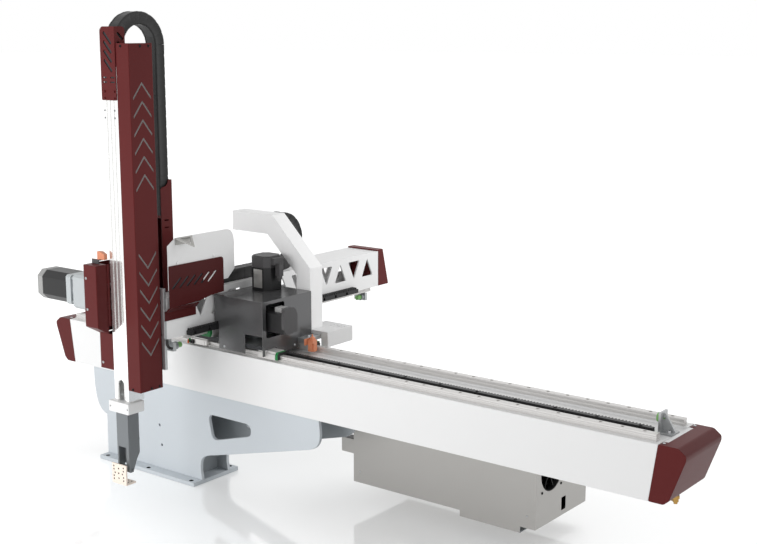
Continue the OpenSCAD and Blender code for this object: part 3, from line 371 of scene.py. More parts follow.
def finish(name, code, rough, metal=0.0, specular=0.5, drift=(9, 0.03), grain=(420, 0.00006),
           stretch=(1, 1, 1), coat=0.0):
    """Procedural surface. Its colour drifts by a wide noise, its roughness by both, and a fine noise, drawn
    out by stretch along a brushed or extruded grain, gives the bump. Drift is the wide noise's scale and
    its share of the colour, grain the fine noise's scale and the bump's height."""
    mat = bpy.data.materials.new(name)
    mat.use_nodes = True
    nodes, links = mat.node_tree.nodes, mat.node_tree.links
    shader = nodes["Principled BSDF"]
    shader.inputs["Metallic"].default_value = metal
    shader.inputs["Specular IOR Level"].default_value = specular
    shader.inputs["Coat Weight"].default_value = coat
    shader.inputs["Coat Roughness"].default_value = 0.2
    place = nodes.new("ShaderNodeTexCoord")
    drawn = nodes.new("ShaderNodeMapping")
    drawn.inputs["Scale"].default_value = stretch
    links.new(place.outputs["Object"], drawn.inputs["Vector"])
    wide = nodes.new("ShaderNodeTexNoise")
    wide.inputs["Scale"].default_value = drift[0]
    wide.inputs["Detail"].default_value = 4
    links.new(place.outputs["Object"], wide.inputs["Vector"])
    fine = nodes.new("ShaderNodeTexNoise")
    fine.inputs["Scale"].default_value = grain[0]
    fine.inputs["Detail"].default_value = 3
    links.new(drawn.outputs["Vector"], fine.inputs["Vector"])
    mixed = nodes.new("ShaderNodeMix")
    mixed.data_type = "RGBA"
    base = np.array(colour(code)[:3])
    mixed.inputs["A"].default_value = (*(base * (1 - drift[1])), 1)
    mixed.inputs["B"].default_value = (*np.minimum(base * (1 + drift[1]), 1), 1)
    links.new(wide.outputs["Fac"], mixed.inputs["Factor"])
    links.new(mixed.outputs["Result"], shader.inputs["Base Color"])
    gloss = nodes.new("ShaderNodeMapRange")
    gloss.inputs["To Min"].default_value = rough - ROUGH_SPREAD
    gloss.inputs["To Max"].default_value = rough + ROUGH_SPREAD
    both = nodes.new("ShaderNodeMath")
    both.operation = "MULTIPLY_ADD"
    both.inputs[1].default_value = 0.5
    links.new(fine.outputs["Fac"], both.inputs[0])
    half = nodes.new("ShaderNodeMath")
    half.operation = "MULTIPLY"
    half.inputs[1].default_value = 0.5
    links.new(wide.outputs["Fac"], half.inputs[0])
    links.new(half.outputs[0], both.inputs[2])
    links.new(both.outputs[0], gloss.inputs["Value"])
    links.new(gloss.outputs["Result"], shader.inputs["Roughness"])
    bump = nodes.new("ShaderNodeBump")
    bump.inputs["Strength"].default_value = 1.0
    bump.inputs["Distance"].default_value = grain[1]
    links.new(fine.outputs["Fac"], bump.inputs["Height"])
    links.new(bump.outputs["Normal"], shader.inputs["Normal"])
    FINISHES[name] = mat


def make_finishes(tones):
    """All finishes of the robot. Powder coats have orange peel of 2 to 3 mm, extruded profiles lengthwise
    die lines, ground rails fine lines along their run, castings a coarse skin, mouldings a fine grain."""
    peel = (380, 0.00009)
    red = {"specular": 0.16, "drift": (7, 0.05), "grain": peel}
    white = {"specular": 0.4, "drift": (5, 0.012), "grain": peel}
    ground = {"metal": 0.45, "drift": (12, 0.03), "grain": (90, 0.000008)}
    milled = {"metal": 0.75, "drift": (14, 0.05), "grain": (260, 0.00003), "stretch": (1, 6, 1)}
    # A darker copy of the red that paints shade on the slotted plate
    finish("plate_red", "#481717", 0.4, **red)
    finish("wine_red", tones.red, 0.4, **red)
    finish("white_paint", tones.white, 0.38, **white)
    # A brighter copy of the white paint that paints light on the chain arch
    finish("arch_white", "#FCFCFC", 0.38, **white)
    finish("pedestal_grey", tones.pedestal, 0.46, specular=0.4, drift=(6, 0.03), grain=(300, 0.00012))
    # A darker grey that paints shade on the pedestal's webs and on hidden faces
    finish("web_grey", "#9DA2A6", 0.5, specular=0.3, drift=(6, 0.04), grain=(300, 0.00012))
    finish("cover_grey", tones.cover, 0.22, metal=0.6, specular=0.3, drift=(8, 0.05),
           grain=(380, 0.00004))
    finish("box_grey", tones.box, 0.42, metal=0.85, specular=0.4, drift=(6, 0.025), grain=peel)
    finish("cream_coat", "#FBEDE0", 0.5, drift=(20, 0.02), grain=(500, 0.00006))
    finish("white_aluminium", "#F6F6F5", 0.13, metal=0.8, specular=0.5, drift=(6, 0.02), grain=(60, 0.00001),
           stretch=(14, 14, 0.4))
    for name, stretch in (("rail_steel", (0.5, 14, 14)), ("rail_steel_y", (14, 0.5, 14)),
                          ("rail_steel_z", (14, 14, 0.5))):
        finish(name, "#D6D4D2", 0.34, stretch=stretch, **ground)
    finish("rack_steel", "#1F1F20", 0.4, specular=0.35, drift=(30, 0.18), grain=(500, 0.00004))
    finish("gear_steel", "#8C8E91", 0.32, metal=1.0, drift=(40, 0.06), grain=(700, 0.00003))
    finish("head_grey", "#B9BBBC", 0.38, **milled)
    finish("tray_white", "#E4E4E4", 0.38, **white)
    finish("machined_grey", "#B9BBBC", 0.38, **milled)
    finish("motor_black", "#1B1B1C", 0.36, specular=0.35, drift=(18, 0.12), grain=(600, 0.00006))
    finish("motor_cap", "#494849", 0.42, specular=0.4, drift=(18, 0.08), grain=(600, 0.00006))
    finish("cap_grey", "#9B9B9A", 0.4, drift=(18, 0.05), grain=(600, 0.00006))
    finish("damper_grey", "#8E9294", 0.34, metal=0.6, drift=(18, 0.05), grain=(600, 0.00003))
    # Grey of the strip in the chevron slits, which paints the shaded inside seen through them
    finish("slit_grey", "#777574", 0.45, metal=0.3, drift=(20, 0.08), grain=(700, 0.00004))
    finish("cut_edge", "#A9A6A4", 0.4, metal=0.5, drift=(40, 0.06), grain=(700, 0.00004))
    # Near black for strips and faces that paint shade
    finish("dark_plate", "#26282B", 0.42, specular=0.35, drift=(18, 0.08), grain=(400, 0.00004))
    finish("gearbox_alu", "#B9BEC0", 0.42, metal=0.3, drift=(16, 0.04), grain=(520, 0.0001))
    finish("flip_grey", "#777B7E", 0.4, metal=0.25, drift=(14, 0.05), grain=(520, 0.00004),
           stretch=(1, 1, 0.3))
    finish("chain_plastic", "#2F2F2F", 0.46, specular=0.3, drift=(14, 0.06), grain=(800, 0.00007))
    # Black plastic of the fan and seals, also painted on hole walls as shade
    finish("fan_plastic", "#161616", 0.5, drift=(20, 0.1), grain=(800, 0.00005))
    finish("buffer_rubber", "#79AD66", 0.55, drift=(30, 0.07), grain=(600, 0.00008))
    finish("seal_green", "#12753A", 0.5, drift=(30, 0.06), grain=(700, 0.00006))
    finish("sensor_orange", "#D98A66", 0.42, drift=(24, 0.05), grain=(650, 0.00005), coat=0.15)
    finish("brass", "#A9864C", 0.3, metal=0.95, drift=(30, 0.06), grain=(500, 0.00003))
    finish("copper", "#B4623E", 0.3, metal=0.9, drift=(30, 0.08), grain=(500, 0.00003))
    finish("screw_zinc", "#C4C6C8", 0.28, metal=1.0, drift=(60, 0.05), grain=(900, 0.00003))
    finish("screw_black", "#1B1B1C", 0.34, metal=0.6, drift=(60, 0.15), grain=(900, 0.00003))
    finish("plate_tin", "#A9A8A5", 0.36, metal=0.55, drift=(60, 0.06), grain=(200, 0.00003),
           stretch=(1, 1, 8))


class RobotTones(bpy.types.PropertyGroup):
    red: bpy.props.StringProperty(
        name="Red", description="Coat of the covers and end caps", default="#5B1E1E")
    white: bpy.props.StringProperty(
        name="White", description="Coat of the beam and crossbeam", default="#EFEFEF")
    pedestal: bpy.props.StringProperty(
        name="Pedestal", description="Coat of the pedestal", default="#CCD2D7")
    cover: bpy.props.StringProperty(
        name="Drive cover", description="Coat of the carriage's cover", default="#676768")
    box: bpy.props.StringProperty(
        name="Box", description="Coat of the electrics box", default="#AFADAA")


class RobotSizes(bpy.types.PropertyGroup):
    plate_edge: bpy.props.FloatProperty(
        name="Plate edge", description="Widest bevel on thick plates and castings", default=0.0014,
        unit="LENGTH")
    sheet_edge: bpy.props.FloatProperty(
        name="Sheet edge", description="Outer bend of folded sheet", default=0.0022, unit="LENGTH")
    cover_edge: bpy.props.FloatProperty(
        name="Cover edge", description="Outer bend of the drive cover's thin sheet", default=0.0011,
        unit="LENGTH")
    fine_edge: bpy.props.FloatProperty(
        name="Fine edge", description="Bevel on rails, racks and small pieces", default=0.0005,
        unit="LENGTH")
    link: bpy.props.FloatProperty(
        name="Chain link", description="Pitch of the drag chains' links", default=0.03, unit="LENGTH")
    seam: bpy.props.FloatProperty(
        name="Link seam", description="Depth of the seam between two links", default=0.0006, unit="LENGTH")
    key_watts: bpy.props.FloatProperty(
        name="Key lamp", description="Power of the wide lamp at the front", default=69.0)
    side_watts: bpy.props.FloatProperty(
        name="Side lamp", description="Power of the lamp that lights the right-hand faces", default=9.0)
    sky: bpy.props.FloatProperty(
        name="Sky", description="Level of the plain light from all round", default=0.52)
    gloss: bpy.props.FloatProperty(
        name="Floor gloss", description="Share of the floor's mirror", default=0.3)
    # The floor's glow is lower near the robot than far away, which paints shade on the floor around it
    glow: bpy.props.FloatProperty(
        name="Floor glow", description="Light added to the floor near the robot", default=0.27)
    far_glow: bpy.props.FloatProperty(
        name="Far floor glow", description="Light added to the floor far away", default=0.85)


def lamp(name, place, target, width, height, watts):
    """Area lamp at a place, turned to a target and left out of mirrored views."""
    data = bpy.data.lights.new(name, "AREA")
    data.shape, data.size, data.size_y, data.energy = "RECTANGLE", width, height, watts
    obj = bpy.data.objects.new(name, data)
    bpy.context.scene.collection.objects.link(obj)
    obj.location = place
    obj.visible_glossy = False
    obj.rotation_euler = (Vector(target) - Vector(place)).to_track_quat("-Z", "Y").to_euler()


def seen_white(nodes, links):
    """One where a ray comes from the camera or off a glossy or clear surface, else nought."""
    path = nodes.new("ShaderNodeLightPath")
    total = path.outputs["Is Camera Ray"]
    for other in ("Is Glossy Ray", "Is Transmission Ray"):
        most = nodes.new("ShaderNodeMath")
        most.operation = "MAXIMUM"
        links.new(total, most.inputs[0])
        links.new(path.outputs[other], most.inputs[1])
        total = most.outputs[0]
    return total


class ROBOT_OT_stage(bpy.types.Operator):
    """Camera at the photograph's angle, a pale floor, a plain sky and two soft lamps"""

    bl_idname = "robot.stage"
    bl_label = "Stage and camera"

    def execute(self, context):
        sizes = context.scene.robot_sizes
        scene = context.scene
        view = bpy.data.cameras.new("camera")
        view.lens, view.sensor_width, view.clip_end = 60.58, 36.0, 200.0
        camera = bpy.data.objects.new("camera", view)
        scene.collection.objects.link(camera)
        camera.location = (3.0827, -2.8134, 1.4492)
        camera.rotation_euler = (math.radians(90 - 10.84), 0, math.radians(37.80))
        scene.camera = camera
        scene.view_settings.view_transform = "Standard"

        world = bpy.data.worlds.new("sky")
        world.use_nodes = True
        scene.world = world
        nodes, links = world.node_tree.nodes, world.node_tree.links
        sky = nodes["Background"]
        sky.inputs["Strength"].default_value = sizes.sky
        sky.inputs["Color"].default_value = WHITE
        backdrop = nodes.new("ShaderNodeBackground")
        backdrop.inputs["Color"].default_value = WHITE
        either = nodes.new("ShaderNodeMixShader")
        links.new(seen_white(nodes, links), either.inputs["Fac"])
        links.new(sky.outputs[0], either.inputs[1])
        links.new(backdrop.outputs[0], either.inputs[2])
        links.new(either.outputs[0], nodes["World Output"].inputs["Surface"])

        ground = bpy.data.meshes.new("floor")
        corners = ((-1, -1), (1, -1), (1, 1), (-1, 1))
        ground.from_pydata([(x * FLOOR_HALF, y * FLOOR_HALF, FLOOR_TOP) for x, y in corners], [],
                           [(0, 1, 2, 3)])
        floor = bpy.data.objects.new("floor", ground)
        scene.collection.objects.link(floor)
        mat = bpy.data.materials.new("floor_white")
        mat.use_nodes = True
        nodes, links = mat.node_tree.nodes, mat.node_tree.links
        nodes.remove(nodes["Principled BSDF"])
        matt = nodes.new("ShaderNodeBsdfDiffuse")
        matt.inputs["Color"].default_value = (0.93, 0.94, 0.94, 1)
        glow = nodes.new("ShaderNodeEmission")
        # The glow grows with the distance from the robot's middle, less fast along the beam, so the floor
        # near the robot is painted darker as its shade
        place = nodes.new("ShaderNodeTexCoord")
        drawn = nodes.new("ShaderNodeMapping")
        drawn.inputs["Scale"].default_value = (0.6, 1, 1)
        links.new(place.outputs["Object"], drawn.inputs["Vector"])
        away = nodes.new("ShaderNodeVectorMath")
        away.operation = "DISTANCE"
        away.inputs[1].default_value = (0.48, 0.36, 0)
        links.new(drawn.outputs["Vector"], away.inputs[0])
        grown = nodes.new("ShaderNodeMapRange")
        grown.interpolation_type = "SMOOTHSTEP"
        grown.inputs["From Min"].default_value = 0.2
        grown.inputs["From Max"].default_value = 1.7
        grown.inputs["To Min"].default_value = sizes.glow
        grown.inputs["To Max"].default_value = sizes.far_glow
        links.new(away.outputs["Value"], grown.inputs["Value"])
        fill = nodes.new("ShaderNodeMath")
        fill.operation = "MULTIPLY"
        links.new(seen_white(nodes, links), fill.inputs[0])
        links.new(grown.outputs["Result"], fill.inputs[1])
        links.new(fill.outputs[0], glow.inputs["Strength"])
        lit = nodes.new("ShaderNodeAddShader")
        links.new(matt.outputs[0], lit.inputs[0])
        links.new(glow.outputs[0], lit.inputs[1])
        mirror = nodes.new("ShaderNodeBsdfGlossy")
        mirror.inputs["Roughness"].default_value = 0.08
        sheen = nodes.new("ShaderNodeMixShader")
        sheen.inputs["Fac"].default_value = sizes.gloss
        links.new(lit.outputs[0], sheen.inputs[1])
        links.new(mirror.outputs[0], sheen.inputs[2])
        links.new(sheen.outputs[0], nodes["Material Output"].inputs["Surface"])
        floor.data.materials.append(mat)

        lamp("key_lamp", (-0.6, -3.2, 1.2), (0, 0, 0.6), 3.6, 1.5, sizes.key_watts)
        lamp("side_lamp", (1.25, 1.0, 1.3), (0.6, 0.15, 0.55), 0.9, 0.9, sizes.side_watts)
        return {"FINISHED"}


# Parts of a CAD node in another finish: finish, low and high corner from the beam's front top left corner
ZONES = {
    # The carriage plate's front face is painted dark as shade
    "carriage_plate": (("dark_plate", (500, -10, 20), (1000, -3, 50)),),
    "traverse_servo": (("motor_cap", (812, 100, 195), (850, 220, 284)),
                       ("motor_cap", (735, 90, 246), (812, 230, 290))),
    "block_seals": (("rail_steel", (868, -20, -5), (883, 300, 60)),
                    ("rail_steel", (644, -20, -5), (656, 300, 60)),
                    ("fan_plastic", (951.5, -20, -5), (953, 300, 60))),
    # The walls of the base plate's holes are painted black as shade
    "base_plate": (("fan_plastic", (129, 5, -471.5), (581, 203, -459.5)),),
    # The first zone paints the box's lower bracket darker as shade
    "electrics_box": (("web_grey", (1470, 200, -420), (1680, 260, -400.5)),
                      ("motor_cap", (1025, 200, -320), (1076.5, 250, -255))),
    # The rear side plate's inner face is painted darker as the shade inside the pedestal
    "side_plate_rear": (("web_grey", (60, 156.6, -460), (1130, 157.4, -147)),),
    # The walls of the tool plate's holes are painted black as shade
    "tool_plate": (("fan_plastic", (573, -317.5, -358), (630, -313.5, -304)),
                   ("fan_plastic", (573, -310, -363.5), (630, -283, -359.5))),
    "lift_sensor": (("motor_cap", (500, -325, 299), (553, -300, 313.9)),),
    "cable_plate": (("plate_tin", (712.1, -170, 340), (770, -98, 374)),),
    "chevron_cover": (("cut_edge", (688.1, -296, -60), (689.9, -204, 925)),),
    "crosswise_servo": (("motor_cap", (961, 0, 70), (975, 100, 175)),
                        ("cap_grey", (920, 0, 147.5), (961, 100, 175))),
    "lift_servo": (("cap_grey", (250, -400, 100), (287, -200, 300)),),
    "crossbeam_buffers": (("machined_grey", (600, -160, 0), (700, -144.5, 80)),
                          ("damper_grey", (600, -144.5, 0), (700, -131.5, 80)),
                          ("damper_grey", (600, 754.5, 0), (700, 767.5, 80)),
                          ("machined_grey", (600, 767.5, 0), (700, 785, 80))),
}

# CAD nodes by group: node, finish, which edge width
PEDESTAL = (("base_plate", "pedestal_grey", "plate_edge"),
            ("side_plate_front", "pedestal_grey", "plate_edge"),
            # The webs take a darker grey that paints their shade
            ("side_plate_rear", "pedestal_grey", "plate_edge"), ("pedestal_webs", "web_grey", "plate_edge"))
BEAM = (("traverse_beam", "white_paint", "plate_edge"), ("beam_rails", "rail_steel", "fine_edge"),
        ("traverse_rack", "rack_steel", "fine_edge"), ("end_cap_left", "wine_red", "sheet_edge"),
        ("end_cap_right", "wine_red", "sheet_edge"), ("stop_left", "machined_grey", "fine_edge"),
        ("stop_right", "machined_grey", "fine_edge"), ("beam_buffers", "buffer_rubber", "plate_edge"),
        ("air_fitting", "brass", "fine_edge"))
ELECTRICS = (("electrics_box", "box_grey", "sheet_edge"), ("box_fan", "fan_plastic", "fine_edge"),
             ("fan_rotor", "fan_plastic", "fine_edge"))
CARRIAGE = (("carriage_plate", "machined_grey", "plate_edge"), ("traverse_blocks", "rail_steel", "fine_edge"),
            ("block_seals", "seal_green", "fine_edge"), ("drive_cover", "cover_grey", "cover_edge"),
            ("traverse_gearbox", "gearbox_alu", "plate_edge"), ("traverse_pinion", "gear_steel", "fine_edge"),
            ("crosswise_mount", "head_grey", "plate_edge"), ("crosswise_pinion", "gear_steel", "fine_edge"),
            # The chain arch takes a brighter white that paints light on it
            ("crosswise_blocks", "rail_steel_y", "fine_edge"), ("chain_arch", "arch_white", "sheet_edge"),
            ("chain_tray", "tray_white", "sheet_edge"))
SERVOS = (("traverse_servo", "motor_black", "plate_edge"), ("crosswise_servo", "motor_black", "plate_edge"),
          ("lift_servo", "motor_black", "plate_edge"), ("lift_gearbox", "gearbox_alu", "plate_edge"))
CROSSBEAM = (("crossbeam", "white_paint", "plate_edge"), ("crossbeam_rails", "rail_steel_y", "fine_edge"),
             ("crossbeam_rack", "rack_steel", "fine_edge"), ("crossbeam_cap", "wine_red", "plate_edge"),
             ("crossbeam_buffers", "buffer_rubber", "fine_edge"), ("cable_plate", "white_paint", "fine_edge"),
             # The slotted plate takes a darker red that paints its shade
             ("slotted_plate", "plate_red", "fine_edge"), ("chain_mast", "wine_red", "sheet_edge"),
             ("head_plate", "head_grey", "plate_edge"), ("lift_pinion", "gear_steel", "fine_edge"),
             ("gearbox_cover", "wine_red", "sheet_edge"), ("lift_blocks", "rail_steel_z", "fine_edge"))
ARM = (("arm_profile", "white_aluminium", "fine_edge"), ("arm_rail", "rail_steel_z", "fine_edge"),
       ("arm_rack", "rack_steel", "fine_edge"), ("chevron_cover", "wine_red", "sheet_edge"),
       ("top_bracket", "wine_red", "fine_edge"), ("end_block", "white_paint", "plate_edge"))
WRIST = (("flip_unit", "flip_grey", "plate_edge"), ("flip_lever", "flip_grey", "fine_edge"),
         ("tool_plate", "cream_coat", "fine_edge"))
SENSORS = (("carriage_sensor", "sensor_orange", "fine_edge"), ("lift_sensor", "sensor_orange", "fine_edge"))


def refine_all(group, sizes):
    """Dressed copies of one group's nodes."""
    for node, coat, edge in group:
        refined(node, coat, getattr(sizes, edge))


class ROBOT_OT_pedestal(bpy.types.Operator):
    """Base plate, side plates and webs with broken edges in grey coat, the webs in a darker grey that paints
    their shade
    """

    bl_idname = "robot.pedestal"
    bl_label = "Pedestal"

    def execute(self, context):
        refine_all(PEDESTAL, context.scene.robot_sizes)
        return {"FINISHED"}


class ROBOT_OT_beam(bpy.types.Operator):
    """Traverse beam, rails, rack, end caps, stops and buffers"""

    bl_idname = "robot.beam"
    bl_label = "Traverse beam"

    def execute(self, context):
        refine_all(BEAM, context.scene.robot_sizes)
        rail_low, rail_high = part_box("beam_rails")
        xs = np.arange(rail_low.x + 0.033, rail_high.x - 0.008, RAIL_PITCH)
        ys = np.array([BEAM_LOW.y + 0.027, BEAM_HIGH.y - 0.027])
        grid = np.stack(np.meshgrid(xs, ys, [rail_high.z - 0.006]), -1).reshape(-1, 3)
        piece("rail_screws", scattered(flat_head(*RAIL_SCREW), grid), "screw_black", "base")
        # Tongues of the beam's top under the end caps' cut-outs
        beam_w = (BEAM_HIGH.y - BEAM_LOW.y) / MM
        beam_l = (BEAM_HIGH.x - BEAM_LOW.x) / MM
        tongues = [rounded_box(at(x, 32, -3.2), at(x + 14, beam_w - 34, -0.8), 0.0003)
                   for x in (-13.9, beam_l - 0.1)]
        piece("beam_tongues", joined(*tongues), "white_paint", "base")
        rack_low, rack_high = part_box("traverse_rack")
        xs = np.arange(rack_low.x + 0.027, rack_high.x - 0.01, 0.12)
        grid = np.stack([xs, np.full_like(xs, rack_low.y + 0.006), np.full_like(xs, rack_high.z - 0.006)], -1)
        piece("rack_screws", scattered(flat_head(0.0096, 0.0035), grid), "screw_zinc", "base")
        tabs = ats([(2190, 15, 0.8), (2190, 190, 0.8), (-9, 15, 0.8), (-9, 190, 0.8)])
        piece("cap_screws", scattered(dome_head(0.008, 0.0024), tabs), "screw_zinc", "base")
        feet = ats([(x, y, 2) for x in (2166, 15) for y in (92, 116)])
        piece("stop_screws", scattered(socket_head(0.010, 0.006), feet), "screw_zinc", "base")
        return {"FINISHED"}


class ROBOT_OT_electrics(bpy.types.Operator):
    """Electrics box with its fan and screws"""

    bl_idname = "robot.electrics"
    bl_label = "Electrics box"

    def execute(self, context):
        refine_all(ELECTRICS, context.scene.robot_sizes)
        low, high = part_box("box_fan")
        c = (low + high) / 2
        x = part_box("electrics_box")[1].x
        corners = [(x, c.y + sy * 0.0525, c.z + sz * 0.0525) for sy in (-1, 1) for sz in (-1, 1)]
        piece("fan_screws", scattered(facing(dome_head(0.0085, 0.0026), (1, 0, 0)), corners),
              "screw_black", "base")
        low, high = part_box("electrics_box")
        corners = [(low.x + 0.047 + dx, low.y, z) for dx in (0.026, 0.623) for z in (0.108, 0.34)]
        piece("box_screws", scattered(facing(dome_head(0.006, 0.0018), (0, -1, 0)), corners),
              "screw_zinc", "base")
        return {"FINISHED"}


class ROBOT_OT_carriage(bpy.types.Operator):
    """Carriage plate, blocks, drive cover, gearbox, chain arch and tray"""

    bl_idname = "robot.carriage"
    bl_label = "Carriage"

    def execute(self, context):
        refine_all(CARRIAGE, context.scene.robot_sizes)
        screw = dome_head(0.0085, 0.003)
        front = facing(screw, (0, -1, 0))
        right = facing(screw, (1, 0, 0))
        on_cover = joined(scattered(front, [at(746, -8, 22)]),
                          scattered(right, ats([(906, 11, 22), (906, 135, 22)])))
        piece("cover_screws", on_cover, "screw_zinc", "carriage")
        spots = ats([(595, 27, 42), (635, 27, 42), (892, 27, 42), (595, 181, 42), (635, 181, 42),
                     (892, 181, 42), (922, 181, 42)])
        piece("plate_screws", scattered(socket_head(0.0105, 0.005), spots), "screw_zinc", "carriage")
        # Grease fittings at the front left block, and a copper ring beside the sensor
        nipple = turned([(0, 0), (0.003, 0), (0.003, 0.007), (0.002, 0.0085), (0.0022, 0.012), (0.001, 0.013),
                         (0, 0.013)], 12)
        piece("copper_fitting", scattered(nipple, ats([(577, 2, 4)])), "copper", "carriage")
        piece("dark_fittings", scattered(nipple, ats([(590, 2, 6), (599, 2, 6)])), "screw_black", "carriage")
        stub = turned([(0, 0), (0.0035, 0), (0.0035, 0.006), (0.0026, 0.0065), (0.0026, 0.010),
                       (0, 0.010)], 14)
        stubs = scattered(facing(stub, (-1, 0, 0)), ats([(576, 8, 36), (576, 30, 36)]))
        piece("plate_fittings", stubs, "damper_grey", "carriage")
        ring = turned([(0.006, 0), (0.0095, 0), (0.0095, 0.0022), (0.0088, 0.003), (0.0066, 0.003),
                       (0.006, 0.0022), (0.006, 0)], 28)
        piece("copper_ring", scattered(ring, ats([(973, 199, 1)])), "copper", "carriage")
        return {"FINISHED"}


class ROBOT_OT_servos(bpy.types.Operator):
    """Servos and lift gearbox, with a bare rating plate and a gland nut"""

    bl_idname = "robot.servos"
    bl_label = "Servos"

    def execute(self, context):
        refine_all(SERVOS, context.scene.robot_sizes)
        face = at(753.5, 118.6, 187)
        plate = rounded_box(face, face + np.array([0.0355, 0.0009, 0.058]), 0.0004)
        piece("rating_plate", plate, "plate_tin", "carriage")
        # Gland nut of the right-angle connector
        nut = turned([(0, 0), (0.0078, 0), (0.0084, 0.001), (0.0084, 0.008), (0.0078, 0.009), (0, 0.009)], 18,
                     six=(1, 2, 3, 4))
        piece("gland_nut", scattered(nut, [at(825, 159, 215)]), "motor_cap", "carriage")
        return {"FINISHED"}


def chain_section(width, thick):
    """Half-closed link seen along the chain: broad faces with a sunk middle and chamfered corners."""
    a, b = width / 2, thick / 2
    q = np.array([(a - 0.0009, b * 0.52), (a, b * 0.6), (a, b - 0.0028), (a - 0.0028, b), (a * 0.72, b),
                  (a * 0.67, b - 0.0009)])
    left = q[::-1] * [-1, 1]
    return np.concatenate([q, left, q * [-1, -1], left * [-1, -1]])


def chain_piece(node, path, width, thick, body, sizes):
    """Band carried along a path through its middle. At each link's end its section shrinks by the seam."""
    path = np.asarray(path, float)
    step = np.concatenate([[0], np.cumsum(np.linalg.norm(np.diff(path, axis=0), axis=1))])
    links = max(1, round(step[-1] / sizes.link))
    pitch = step[-1] / links
    marks = np.concatenate([[0.0, 0.0004, 0.0008], [pitch / 3, pitch * 2 / 3]])
    s = (np.arange(links)[:, None] * pitch + marks).ravel()
    sunk = np.tile([1.0, 1.0, 0, 0, 0], links)
    s, sunk = np.append(s, [step[-1] - 0.0003, step[-1]]), np.append(sunk, [0, 1.0])
    line = np.stack([np.interp(s, step, path[:, k]) for k in range(3)], -1)
    section = chain_section(width, thick)
    shrink = 1 - sunk[:, None, None] * sizes.seam / np.array([width / 2, thick / 2])
    band = swept(line, section * shrink, (1, 0, 0))
    return piece(node + "_links", band, "chain_plastic", body, replaces=(node,))


def chain_run(node, lengthwise, sizes):
    """Straight run of a chain along axis lengthwise, with its low and high corner. It rides no body."""
    low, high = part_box(node)
    c = (low + high) / 2
    ends = [c.copy(), c.copy()]
    ends[0][lengthwise], ends[1][lengthwise] = low[lengthwise], high[lengthwise]
    size = high - low
    return chain_piece(node, ends, size.x, size[3 - lengthwise], None, sizes), low, high


def chain_bend(node, middle, radius, body, up, sizes):
    """Half circle of a chain about middle, given as (y, z), that opens downward or toward -Y."""
    low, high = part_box(node)
    a = np.linspace(0, math.pi, 49)[:, None]
    x = (low.x + high.x) / 2
    y = np.cos(a) if up else np.sin(a)
    z = np.sin(a) if up else np.cos(a)
    path = np.concatenate([np.full_like(a, x), middle[0] + radius * y, middle[1] + radius * z], 1)
    chain_piece(node, path, high.x - low.x, CHAIN_T, body, sizes)


class ROBOT_OT_chains(bpy.types.Operator):
    """Drag chains: straight runs on no body, and the rolling bends between them on their loops' bodies"""

    bl_idname = "robot.chains"
    bl_label = "Drag chains"

    def execute(self, context):
        sizes = context.scene.robot_sizes
        fixed, low, high = chain_run("lift_chain_fixed", 2, sizes)
        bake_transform(fixed)
        moving, low, high = chain_run("lift_chain_moving", 2, sizes)
        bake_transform(moving)
        low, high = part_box("lift_chain_bend")
        radius = (high.y - low.y) / 2 - CHAIN_T / 2
        middle = ((low.y + high.y) / 2, low.z)
        chain_bend("lift_chain_bend", middle, radius, "lift_chain_loop", True, sizes)
        upper, low, high = chain_run("cross_chain_upper", 1, sizes)
        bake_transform(upper)
        lower, low, high = chain_run("cross_chain_lower", 1, sizes)
        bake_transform(lower)
        low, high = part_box("cross_chain_bend")
        radius = (high.z - low.z) / 2 - CHAIN_T / 2
        middle = (low.y, (low.z + high.z) / 2)
        chain_bend("cross_chain_bend", middle, radius, "cross_chain_loop", False, sizes)
        return {"FINISHED"}


class ROBOT_OT_crossbeam(bpy.types.Operator):
    """Crossbeam, its rails and rack, cable plates, mast, head plate and covers"""

    bl_idname = "robot.crossbeam"
    bl_label = "Crossbeam"

    def execute(self, context):
        refine_all(CROSSBEAM, context.scene.robot_sizes)
        low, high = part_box("crossbeam_rails")
        ys = np.arange(low.y + 0.02, high.y - 0.008, RAIL_PITCH)
        xs = np.array([low.x + 0.01, high.x - 0.01])
        grid = np.stack(np.meshgrid(xs, ys, [low.z + 0.006]), -1).reshape(-1, 3)
        head = facing(flat_head(*RAIL_SCREW), (0, 0, -1))
        piece("crossbeam_rail_screws", scattered(head, grid), "screw_black", "crossbeam_body")
        # Dark strip behind the first four slots of the slotted plate, sunk in the plate's back, that paints
        # shade in the slots
        low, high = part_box("slotted_plate")
        back = np.array([high.x - 0.0027, high.y - 0.227, CORNER[2]])
        strip = rounded_box(back + [0, 0.008, 0.220], back + [0.0007, 0.143, 0.258], 0.0002)
        piece("slot_strip", strip, "dark_plate", "crossbeam_body")
        front = facing(dome_head(0.0085, 0.003), (0, -1, 0))
        spots = ats([(527, -350, 260), (528, -350, 167), (529, -300, -2.5)])
        piece("gearbox_cover_screws", scattered(front, spots), "screw_zinc", "crossbeam_body")
        # Rim of the gearbox cover beside the arm
        rim = rounded_box(at(573.2, -310, 115), at(573.7, -301, 300), 0.0001)
        piece("gearbox_cover_rim", rim, "wine_red", "crossbeam_body")
        # Short hose below the crossbeam's front end
        path = elbow(at(707, -206, 75), (0, 0, -1), (1, 0, 0), 0.012, 0.008, 0.012)
        hose = swept(path, circle([0.0042] * len(path)), (0, 1, 0))
        piece("front_hose", hose, "chain_plastic", "crossbeam_body")
        return {"FINISHED"}


